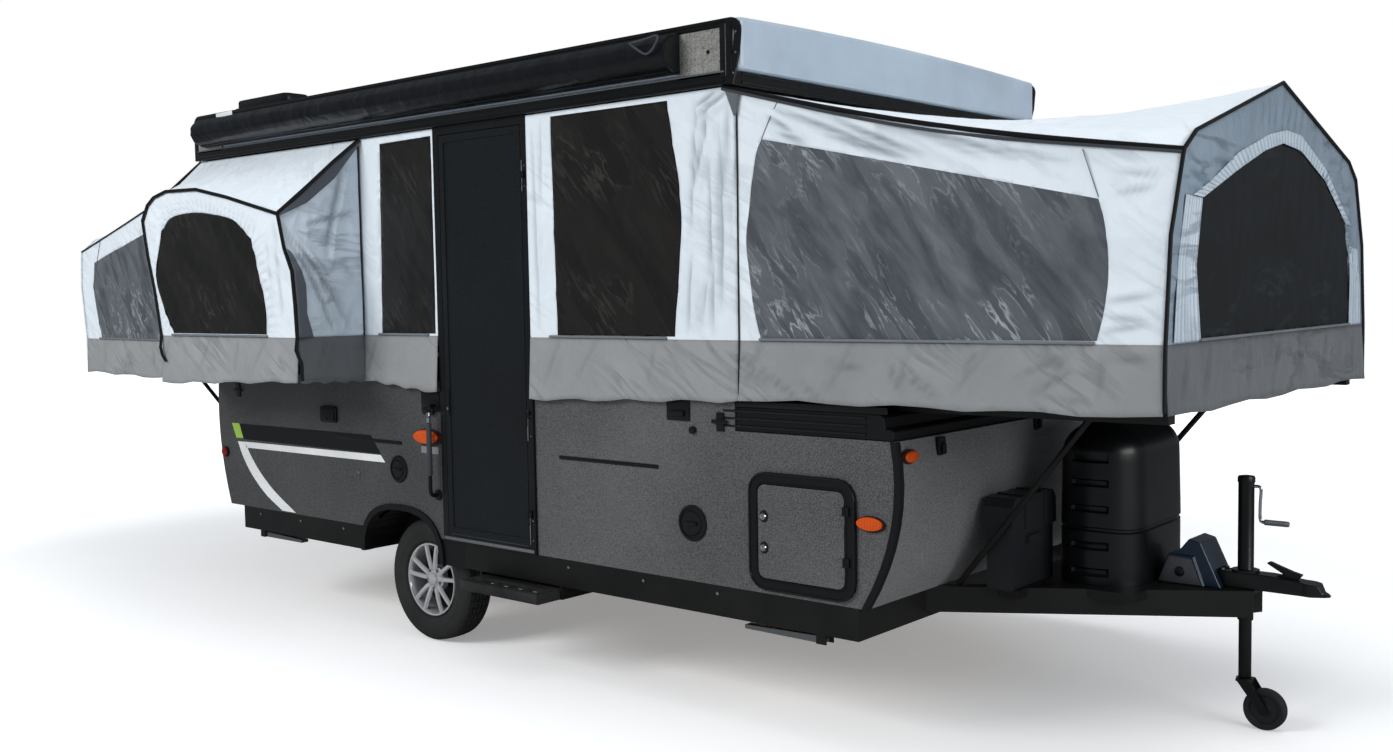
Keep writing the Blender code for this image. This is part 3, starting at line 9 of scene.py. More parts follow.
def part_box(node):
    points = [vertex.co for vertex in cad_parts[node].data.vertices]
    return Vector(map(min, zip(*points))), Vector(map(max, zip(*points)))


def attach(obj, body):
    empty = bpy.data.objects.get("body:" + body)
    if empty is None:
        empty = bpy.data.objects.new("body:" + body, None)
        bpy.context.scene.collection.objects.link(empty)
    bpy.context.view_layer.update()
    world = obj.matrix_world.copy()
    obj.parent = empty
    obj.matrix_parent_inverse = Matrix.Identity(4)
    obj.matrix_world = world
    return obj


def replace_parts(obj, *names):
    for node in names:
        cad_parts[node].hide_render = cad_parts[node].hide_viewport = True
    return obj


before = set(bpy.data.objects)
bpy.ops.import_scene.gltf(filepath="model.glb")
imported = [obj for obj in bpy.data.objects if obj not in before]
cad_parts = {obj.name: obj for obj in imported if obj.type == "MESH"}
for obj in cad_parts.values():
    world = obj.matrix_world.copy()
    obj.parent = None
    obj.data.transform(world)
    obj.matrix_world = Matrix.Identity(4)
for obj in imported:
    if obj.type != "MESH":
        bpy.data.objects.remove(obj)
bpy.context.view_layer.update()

# Camera. The trailer stands open, seen from its curb side and front corner, a little above
# the door's middle. Lengths below are measured from the axle (x) and the centre line (y).
AXLE = (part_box("tyre_curb")[0][0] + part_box("tyre_curb")[1][0]) / 2
MID = (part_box("roof_rail")[0][1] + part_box("roof_rail")[1][1]) / 2
ORIGIN = Vector((AXLE, MID, 0.0))


def at(x, y, z):
    """A place on the trailer, from the axle and the centre line, in the scene."""
    return Vector((x, y, z)) + ORIGIN


view = bpy.data.cameras.new("view")
view.sensor_width = 36.0
view.lens = 34.75
view.clip_end = 200.0
camera = bpy.data.objects.new("camera", view)
bpy.context.scene.collection.objects.link(camera)
turn, tilt, lean = math.radians(40.693), math.radians(-3.66), math.radians(-0.984)
ahead = Vector((-math.sin(turn) * math.cos(tilt), math.cos(turn) * math.cos(tilt), math.sin(tilt)))
right = Vector((math.cos(turn), math.sin(turn), 0.0))
up = right.cross(ahead)
right, up = right * math.cos(lean) + up * math.sin(lean), up * math.cos(lean) - right * math.sin(lean)
camera.matrix_world = Matrix.Translation(at(4.738, -4.669, 1.53)) @ Matrix((right, up, -ahead)).transposed().to_4x4()
bpy.context.scene.camera = camera

# Studio. A pale floor under a white surround, one large soft lamp high on the curb side and a
# weaker one ahead. The camera sees floor and surround at white; the light on the trailer is its own.
def linear(code):
    """An sRGB hex colour as the linear colour that a shader takes."""
    shares = [int(code[i:i + 2], 16) / 255 for i in (1, 3, 5)]
    return tuple(s / 12.92 if s <= 0.04045 else ((s + 0.055) / 1.055) ** 2.4 for s in shares) + (1.0,)


def node(tree, kind, inputs=None, **settings):
    """A shader node with its settings; an input is a value, or a socket to link from."""
    made = tree.nodes.new("ShaderNode" + kind)
    for key, value in settings.items():
        setattr(made, key, value)
    for key, value in (inputs or {}).items():
        if isinstance(value, bpy.types.NodeSocket):
            tree.links.new(value, made.inputs[key])
        else:
            made.inputs[key].default_value = value
    return made


def deselect():
    if bpy.context.object and bpy.context.object.mode != "OBJECT":
        bpy.ops.object.mode_set(mode="OBJECT")
    bpy.ops.object.select_all(action="DESELECT")


surround = bpy.data.worlds.new("surround")
bpy.context.scene.world = surround
surround.use_nodes = True
tree = surround.node_tree
tree.nodes.clear()
rays = node(tree, "LightPath")
lit = node(tree, "Background", {"Color": linear("#E6EEF8"), "Strength": 0.44})
white = node(tree, "Background", {"Color": (1, 1, 1, 1), "Strength": 1.0})
gloss = node(tree, "Background", {"Color": linear("#DDE6EE"), "Strength": 0.22})
shown = node(tree, "MixShader", {0: rays.outputs["Is Glossy Ray"], 1: lit.outputs[0], 2: gloss.outputs[0]})
shown = node(tree, "MixShader", {0: rays.outputs["Is Camera Ray"], 1: shown.outputs[0], 2: white.outputs[0]})
node(tree, "OutputWorld", {"Surface": shown.outputs[0]})

deselect()
bpy.ops.mesh.primitive_plane_add(size=60.0, location=(0, 0, -0.0005))
floor = bpy.context.object
floor.name = "studio_floor"
floor.location = (0, 0, 0)
floor.data.transform(Matrix.Translation((0, 0, -0.0005)))
paper = bpy.data.materials.new("white_paper_floor")
paper.use_nodes = True
tree = paper.node_tree
tree.nodes.clear()
rays = node(tree, "LightPath")
seen_paper = node(tree, "BsdfDiffuse", {"Color": (1, 1, 1, 1)})
felt_paper = node(tree, "BsdfDiffuse", {"Color": (0.80, 0.80, 0.80, 1)})
mirrored_paper = node(tree, "BsdfDiffuse", {"Color": (0.22, 0.22, 0.22, 1)})
spot = node(tree, "TexCoord").outputs["Object"]
away = node(tree, "VectorMath", {0: spot}, operation="LENGTH")
level = node(tree, "MapRange", {"Value": away.outputs["Value"], "From Min": 4.0, "From Max": 9.0, "To Min": 0.26,
                                "To Max": 1.0})
glow = node(tree, "Emission", {"Color": (1, 1, 1, 1), "Strength": level.outputs["Result"]})
both = node(tree, "AddShader", {0: seen_paper.outputs[0], 1: glow.outputs[0]})
shown = node(tree, "MixShader", {0: rays.outputs["Is Glossy Ray"], 1: felt_paper.outputs[0],
        2: mirrored_paper.outputs[0]})
shown = node(tree, "MixShader", {0: rays.outputs["Is Camera Ray"], 1: shown.outputs[0], 2: both.outputs[0]})
node(tree, "OutputMaterial", {"Surface": shown.outputs[0]})
floor.data.materials.append(paper)


def softbox(name, place, aim, size, watts, mirrored):
    lamp = bpy.data.lights.new(name, "AREA")
    lamp.shape = "RECTANGLE"
    lamp.size, lamp.size_y = size
    lamp.energy = watts
    holder = bpy.data.objects.new(name, lamp)
    holder.location = place
    holder.rotation_euler = (Vector(aim) - Vector(place)).to_track_quat("-Z", "Y").to_euler()
    holder.visible_glossy = mirrored
    bpy.context.scene.collection.objects.link(holder)


softbox("key", (-2.5, -9.0, 6.0), (0.2, 0, 1.2), (5.0, 4.0), 610, False)
softbox("fill", (9.0, -1.0, 3.0), (0.5, 0, 1.2), (4.0, 3.0), 150, True)
softbox("top", (1.5, 1.0, 8.0), (1.0, 0, 1.0), (8.0, 5.0), 300, False)


# Powder-coated steel: the chassis, tongue, axle and struts, welded from tube and channel. The
# coat is near black with a fine orange-peel grain, and dust makes it a little dull on top.
def new_material(name):
    """A new material, with its node tree and its shader."""
    made = bpy.data.materials.new(name)
    made.use_nodes = True
    return made, made.node_tree, made.node_tree.nodes["Principled BSDF"]


def linked(tree, shader, colour, rough=None, bump=None):
    """Links a colour, a roughness and a bump to the shader."""
    for source, put, socket in ((colour, "Color", "Base Color"), (rough, "Result", "Roughness"),
                                (bump, "Normal", "Normal")):
        if source:
            tree.links.new(source.outputs[put], shader.inputs[socket])


def metal_coat(name, colour, dust, roughness, peel=90.0):
    made, tree, shader = new_material(name)
    place = node(tree, "TexCoord").outputs["Object"]
    cloud = node(tree, "TexNoise", {"Vector": place, "Scale": 3.0, "Detail": 6.0, "Roughness": 0.65})
    grain = node(tree, "TexNoise", {"Vector": place, "Scale": peel, "Detail": 3.0})
    shade = node(tree, "ValToRGB", {"Fac": cloud.outputs["Fac"]})
    shade.color_ramp.elements[0].position, shade.color_ramp.elements[1].position = 0.38, 0.72
    shade.color_ramp.elements[0].color, shade.color_ramp.elements[1].color = linear(colour), linear(dust)
    dull = node(tree, "MapRange", {"Value": grain.outputs["Fac"], "To Min": roughness - 0.08,
                                   "To Max": roughness + 0.12})
    bump = node(tree, "Bump", {"Height": grain.outputs["Fac"], "Strength": 0.25, "Distance": 0.0015})
    linked(tree, shader, shade, dull, bump)
    return made


def dress(material, *names):
    """Gives CAD nodes a material."""
    for name in names:
        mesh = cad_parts[name].data
        mesh.materials.clear()
        mesh.materials.append(material)


coated_steel = metal_coat("powder_coated_steel", "#0D0D0D", "#191918", 0.42)
dress(coated_steel, "chassis_frame", "tongue_frame", "axle", "strut_front_curb", "strut_front_street",
      "strut_rear_curb", "strut_rear_street", "door_frame", "roof_rail")

# Wheel wells, hatch seal and other moulded parts: black polypropylene, injection moulded with a
# fine spark-eroded grain, so it shines softly on its edges and stays dull on its faces.
def moulded(name, colour, roughness=0.5, grain_mm=2.5, depth=0.0006, coat=0.0):
    made, tree, shader = new_material(name)
    shader.inputs["Roughness"].default_value = roughness
    shader.inputs["IOR"].default_value = 1.49
    shader.inputs["Coat Weight"].default_value = coat
    place = node(tree, "TexCoord").outputs["Object"]
    cloud = node(tree, "TexNoise", {"Vector": place, "Scale": 5.0, "Detail": 5.0})
    grain = node(tree, "TexNoise", {"Vector": place, "Scale": 400.0 / grain_mm, "Detail": 2.0})
    tone = node(tree, "MapRange", {"Value": cloud.outputs["Fac"], "To Min": 0.85, "To Max": 1.25})
    base = node(tree, "MixRGB", {"Fac": 1.0, "Color1": linear(colour), "Color2": tone.outputs["Result"]},
                blend_type="MULTIPLY")
    bump = node(tree, "Bump", {"Height": grain.outputs["Fac"], "Strength": 0.4, "Distance": depth})
    wear = node(tree, "MapRange", {"Value": cloud.outputs["Fac"], "To Min": roughness - 0.1, "To Max": roughness + 0.1})
    linked(tree, shader, base, wear, bump)
    return made


black_moulding = moulded("moulded_polypropylene", "#0D0E0F", 0.44)
dress(black_moulding, "wheel_well_curb", "wheel_well_street")


# Box panels: embossed aluminium sheet bonded to a frame, painted charcoal. The embossing is a
# leather-like pebble about 5 mm across; its high points are painted light grey as painted highlight, its valleys dark
# as painted shade.
def pebbled_sheet(name, low, high, cell_mm=5.5):
    made, tree, shader = new_material(name)
    shader.inputs["Roughness"].default_value = 0.55
    place = node(tree, "TexCoord").outputs["Object"]
    wander = node(tree, "TexNoise", {"Vector": place, "Scale": 60.0, "Detail": 2.0})
    shift = node(tree, "VectorMath", {0: wander.outputs["Color"], 1: (0.006, 0.006, 0.006)}, operation="MULTIPLY")
    bent = node(tree, "VectorMath", {0: place, 1: shift.outputs[0]}, operation="ADD")
    cells = node(tree, "TexVoronoi", {"Vector": bent.outputs[0], "Scale": 1000.0 / cell_mm}, feature="F1")
    speck = node(tree, "TexNoise", {"Vector": place, "Scale": 110.0, "Detail": 3.0, "Roughness": 0.7})
    cloud = node(tree, "TexNoise", {"Vector": place, "Scale": 1.4, "Detail": 3.0})
    tops = node(tree, "MapRange", {"Value": cells.outputs["Distance"], "From Min": 0.1, "From Max": 0.75,
                                   "To Min": 1.0, "To Max": 0.0})
    mixed = node(tree, "Math", {0: tops.outputs["Result"], 1: speck.outputs["Fac"]}, operation="MULTIPLY")
    mixed = node(tree, "Math", {0: mixed.outputs[0], 1: 0.55, 2: 0.02}, operation="MULTIPLY_ADD")
    mixed = node(tree, "Math", {0: cloud.outputs["Fac"], 1: 0.35, 2: mixed.outputs[0]}, operation="MULTIPLY_ADD")
    shade = node(tree, "ValToRGB", {"Fac": mixed.outputs[0]})
    shade.color_ramp.elements[0].position, shade.color_ramp.elements[1].position = 0.15, 0.60
    shade.color_ramp.elements[0].color, shade.color_ramp.elements[1].color = linear(low), linear(high)
    bump = node(tree, "Bump", {"Height": tops.outputs["Result"], "Strength": 0.7, "Distance": 0.0012})
    linked(tree, shader, shade, bump=bump)
    return made


charcoal_sheet = pebbled_sheet("embossed_charcoal_aluminium", "#424243", "#727273")
# Lit and shaded copies: the front wall's sheet is painted lighter, painted light on the face turned from the key lamp,
# and the curb side's rear panel is painted darker, painted shade towards the rear.
dress(pebbled_sheet("embossed_aluminium_painted_lighter_front", "#5C5C5D", "#8A8A8B"), "box_front")
dress(charcoal_sheet, "box_rear", "box_side_curb_front", "box_side_street")
dress(pebbled_sheet("embossed_aluminium_painted_shade_aft", "#353536", "#5E5E5F"), "box_side_curb_rear")


# Floor and bulkhead: birch plywood, rotary cut, varnished, its grain in soft darker bands along
# the sheet. The bunk decks are the same board under black paint.
def plywood_of(name):
    made, tree, shader = new_material(name)
    shader.inputs["Roughness"].default_value = 0.5
    place = node(tree, "TexCoord").outputs["Object"]
    long = node(tree, "Mapping", {"Vector": place, "Scale": (1.2, 14.0, 14.0)})
    grain = node(tree, "TexNoise", {"Vector": long.outputs[0], "Scale": 3.0, "Detail": 8.0, "Distortion": 0.6})
    shade = node(tree, "ValToRGB", {"Fac": grain.outputs["Fac"]})
    shade.color_ramp.elements[0].color, shade.color_ramp.elements[1].color = linear("#9C7B52"), linear("#CBB08A")
    bump = node(tree, "Bump", {"Height": grain.outputs["Fac"], "Strength": 0.15, "Distance": 0.001})
    linked(tree, shader, shade, bump=bump)
    return made


dress(plywood_of("birch_plywood"), "box_floor", "bulkhead")
dress(metal_coat("black_deck_paint", "#151515", "#232323", 0.5), "front_bunk_deck", "rear_bunk_deck", "side_bunk_deck")


# Lift posts and corner steadies: square steel tube, zinc plated, so a pale grey metal with a
# cloudy spangle and a slightly rough shine.
def bare_metal(name, colour, roughness, spangle=40.0, swing=0.08):
    made, tree, shader = new_material(name)
    shader.inputs["Metallic"].default_value = 1.0
    place = node(tree, "TexCoord").outputs["Object"]
    cloud = node(tree, "TexNoise", {"Vector": place, "Scale": spangle, "Detail": 4.0})
    tone = node(tree, "MapRange", {"Value": cloud.outputs["Fac"], "To Min": 0.85, "To Max": 1.08})
    base = node(tree, "MixRGB", {"Fac": 1.0, "Color1": linear(colour), "Color2": tone.outputs["Result"]},
                blend_type="MULTIPLY")
    rough = node(tree, "MapRange", {"Value": cloud.outputs["Fac"], "To Min": max(0.02, roughness - swing),
                                    "To Max": roughness + swing})
    linked(tree, shader, base, rough)
    return made


zinc = bare_metal("zinc_plated_steel", "#A9ACAE", 0.38)
dress(zinc, *["%s_%s_%s" % (kind, end, hand) for kind in ("lift_post", "steady") for end in ("front", "rear")
              for hand in ("curb", "street")])
chrome = bare_metal("bright_chrome", "#D9DCDF", 0.09, 25.0, 0.04)
alloy = bare_metal("polished_alloy", "#F4F5F6", 0.16, 25.0, 0.06)
alloy.node_tree.nodes["Principled BSDF"].inputs["Metallic"].default_value = 0.72


# Tyres: radial trailer tyres, moulded black rubber. The tread has four ribs cut by fine sipes;
# rings and a shallow shoulder run round the side wall. Spun from one section, then cut.
def rubber_of(name, colour, roughness):
    made, tree, shader = new_material(name)
    place = node(tree, "TexCoord").outputs["Object"]
    fine = node(tree, "TexNoise", {"Vector": place, "Scale": 180.0, "Detail": 3.0})
    cloud = node(tree, "TexNoise", {"Vector": place, "Scale": 9.0, "Detail": 5.0})
    shade = node(tree, "ValToRGB", {"Fac": cloud.outputs["Fac"]})
    shade.color_ramp.elements[0].color, shade.color_ramp.elements[1].color = linear(colour), linear("#343433")
    rough = node(tree, "MapRange", {"Value": cloud.outputs["Fac"], "To Min": roughness - 0.1,
                                    "To Max": roughness + 0.1})
    bump = node(tree, "Bump", {"Height": fine.outputs["Fac"], "Strength": 0.3, "Distance": 0.0008})
    linked(tree, shader, shade, rough, bump)
    return made


def spun(name, section, centre, axis, steps, closed=True):
    """A section of (radius, along) points spun round an axis through the centre, with the spin tool."""
    deselect()
    mesh = bpy.data.meshes.new(name)
    obj = bpy.data.objects.new(name, mesh)
    bpy.context.scene.collection.objects.link(obj)
    side = {0: (1, 2), 1: (0, 2), 2: (0, 1)}[axis]
    spots = []
    for radius, along in section:
        spot = Vector(centre)
        spot[axis] += along
        spot[side[1]] += radius
        spots.append(spot)
    edges = [(i, i + 1) for i in range(len(spots) - 1)] + ([(len(spots) - 1, 0)] if closed else [])
    mesh.from_pydata(spots, edges, [])
    obj.select_set(True)
    bpy.context.view_layer.objects.active = obj
    bpy.ops.object.mode_set(mode="EDIT")
    bpy.ops.mesh.select_all(action="SELECT")
    way = Vector((0, 0, 0))
    way[axis] = 1
    bpy.ops.mesh.spin(steps=steps, angle=math.tau, center=centre, axis=way)
    bpy.ops.mesh.select_all(action="SELECT")
    bpy.ops.mesh.remove_doubles(threshold=0.00001)
    bpy.ops.mesh.normals_make_consistent(inside=False)
    bpy.ops.object.mode_set(mode="OBJECT")
    return obj


def smooth(obj, degrees=35):
    deselect()
    obj.select_set(True)
    bpy.context.view_layer.objects.active = obj
    bpy.ops.object.shade_smooth_by_angle(angle=math.radians(degrees))
    return obj


def fit(obj, material, body="trailer", *replaced):
    """Gives a piece its material and its body, and hides the CAD nodes that it stands for."""
    if material:
        obj.data.materials.clear()
        obj.data.materials.append(material)
    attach(obj, body)
    if replaced:
        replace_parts(obj, *replaced)
    return obj


tyre_rubber = rubber_of("moulded_tyre_rubber", "#1E1E1E", 0.62)
TYRE = 0.272
HANDS = (("curb", -1), ("street", 1))
for hand, side in HANDS:
    centre = at(0, side * 0.925, TYRE)
    section = [(0.1545, 0.040), (0.166, 0.052), (0.175, 0.064), (0.190, 0.0705), (0.205, 0.0735), (0.2062, 0.0742),
               (0.214, 0.0742),
               (0.2152, 0.0735), (0.235, 0.0730), (0.250, 0.0695), (0.262, 0.0620), (0.268, 0.0540)]
    tread = []
    for groove in (0.032, 0.011, -0.011, -0.032):
        tread += [(TYRE - abs(groove) * 0.05, groove + 0.0032), (TYRE - 0.009, groove + 0.0022),
                  (TYRE - 0.009, groove - 0.0022), (TYRE - abs(groove) * 0.05, groove - 0.0032)]
    section = section + tread + [(r, -a) for r, a in reversed(section)]
    tyre = spun("road_tyre_" + hand, section, centre, 1, 144)
    deselect()
    tyre.select_set(True)
    bpy.context.view_layer.objects.active = tyre
    bm = bmesh.new()
    bm.from_mesh(tyre.data)
    ribs = [f for f in bm.faces if (f.calc_center_median() - centre).xz.length > TYRE - 0.004
            and f.calc_area() > 0.00005]
    for face in ribs:
        turn_step = round(math.atan2(face.calc_center_median().z - centre.z, face.calc_center_median().x - centre.x)
                          / math.tau * 144 - 0.5)
        face.select_set(turn_step % 3 == 0)
    sipes = [f for f in ribs if f.select]
    bmesh.ops.inset_individual(bm, faces=sipes, thickness=0.0035, depth=-0.004)
    bm.to_mesh(tyre.data)
    bm.free()
    fit(smooth(tyre, 28), tyre_rubber, "wheel_" + hand, "tyre_" + hand)

# Wheel rims: cast alloy, polished, 12 inch. Five spokes, each split in two along its length,
# run from the hub to the lip; the well behind them is painted dark grey as painted shade, and five nuts sit round the
# hub.
dark_well = bare_metal("shadowed_alloy", "#3A3C3F", 0.4)
for hand, side in HANDS:
    centre = at(0, side * 0.925, TYRE)
    out = side * 0.075
    lip = [(0.1538, out * 0.55), (0.1610, out * 0.66), (0.1628, out * 0.74), (0.1605, out * 0.80), (0.1540, out * 0.79),
           (0.1500, out * 0.68),
           (0.1470, out * 0.40), (0.1450, -out * 0.55), (0.1530, -out * 0.75), (0.1620, -out * 0.78),
           (0.1620, -out * 0.70),
           (0.1538, -out * 0.55)]
    ring = spun("rim_ring_" + hand, lip, centre, 1, 96)
    fit(smooth(ring, 50), alloy, "wheel_" + hand, "rim_" + hand)
    dish = [(0.020, -out * 0.50), (0.1455, -out * 0.50), (0.1455, -out * 0.44), (0.055, -out * 0.10),
            (0.020, -out * 0.10)]
    fit(smooth(spun("rim_dish_" + hand, dish, centre, 1, 64), 40), dark_well, "wheel_" + hand)
    hub = [(0.0, out * 0.78), (0.022, out * 0.77), (0.028, out * 0.72), (0.031, out * 0.60), (0.052, out * 0.55),
           (0.058, out * 0.48),
           (0.058, out * 0.10), (0.0, out * 0.10)]
    cap = spun("rim_hub_" + hand, hub, centre, 1, 64, closed=False)
    fit(smooth(cap, 40), alloy, "wheel_" + hand)
    for i in range(5):
        for lean_way in (-1, 1):
            deselect()
            bpy.ops.mesh.primitive_cube_add(size=1.0, location=(0, 0, 0))
            spoke = bpy.context.object
            spoke.name = "rim_spoke_%s_%d_%s" % (hand, i, "left" if lean_way < 0 else "right")
            bpy.ops.object.mode_set(mode="EDIT")
            bpy.ops.mesh.subdivide(number_cuts=3)
            bpy.ops.object.mode_set(mode="OBJECT")
            for vert in spoke.data.vertices:
                share = vert.co.z + 0.5
                reach = 0.040 + share * 0.112
                width = 0.020 + 0.006 * (1 - share) + 0.008 * max(0.0, share - 0.7)
                spread = lean_way * (0.0105 + share * 0.026)
                depth = out * (0.60 + 0.06 * math.sin(share * math.pi) + 0.10 * share * share)
                thick = 0.012
                vert.co = Vector((spread + vert.co.x * width * (1 - 0.35 * (vert.co.y * side + 0.5)),
                                  depth + vert.co.y * thick, reach))
            spoke.data.transform(Matrix.Translation(centre) @ Matrix.Rotation(math.tau * i / 5, 4, "Y"))
            rounded = spoke.modifiers.new("rounded", "SUBSURF")
            rounded.levels = rounded.render_levels = 2
            bpy.ops.object.modifier_apply(modifier=rounded.name)
            fit(smooth(spoke, 60), alloy, "wheel_" + hand)
        turn_by = math.tau * (i + 0.5) / 5
        spot = centre + Vector((0.043 * math.sin(turn_by), out * 0.50, 0.043 * math.cos(turn_by)))
        deselect()
        bpy.ops.mesh.primitive_cylinder_add(vertices=6, radius=0.0085, depth=0.016, location=spot,
                rotation=(math.pi / 2, 0, 0))
        nut = bpy.context.object
        nut.name = "wheel_nut_%s_%d" % (hand, i)
        bpy.ops.object.transform_apply(location=True, rotation=True, scale=True)
        edge = nut.modifiers.new("edge", "BEVEL")
        edge.width, edge.segments = 0.0012, 2
        bpy.ops.object.modifier_apply(modifier=edge.name)
        fit(nut, zinc, "wheel_" + hand)


# Tents: white coated cloth sewn to grey skirts, stretched over bows. Each panel is one sheet
# whose middle is dark window cloth, with folds where the cloth is gathered or pulled.
def along(points, count):
    """A polyline resampled to equal steps."""
    spots = [Vector(p) for p in points]
    steps = [0.0]
    for a, b in zip(spots, spots[1:]):
        steps.append(steps[-1] + (b - a).length)
    made, k = [], 0
    for i in range(count + 1):
        want = steps[-1] * i / count
        while k < len(spots) - 2 and steps[k + 1] < want:
            k += 1
        share = (want - steps[k]) / max(steps[k + 1] - steps[k], 1e-9)
        made.append(spots[k].lerp(spots[k + 1], min(max(share, 0.0), 1.0)))
    return made


def rounded_line(points, cuts=6):
    """A smooth curve through the points of a polyline."""
    spots = [Vector(p) for p in points]
    spots = [spots[0] * 2 - spots[1]] + spots + [spots[-1] * 2 - spots[-2]]
    made = []
    for a, b, c, d in zip(spots, spots[1:], spots[2:], spots[3:]):
        for i in range(cuts):
            t = i / cuts
            made.append(0.5 * (2 * b + (c - a) * t + (2 * a - 5 * b + 4 * c - d) * t * t + (3 * b - a - 3 * c + d)
                               * t ** 3))
    return made + [spots[-2]]


def coons(low, high, left, right):
    """Rows of points that fill four edges."""
    rows = []
    n, m = len(low) - 1, len(left) - 1
    for j in range(m + 1):
        v = j / m
        row = []
        for i in range(n + 1):
            u = i / n
            flat = (low[0] * (1 - u) + low[-1] * u) * (1 - v) + (high[0] * (1 - u) + high[-1] * u) * v
            row.append(low[i] * (1 - v) + high[i] * v + left[j] * (1 - u) + right[j] * u - flat)
        rows.append(row)
    return rows


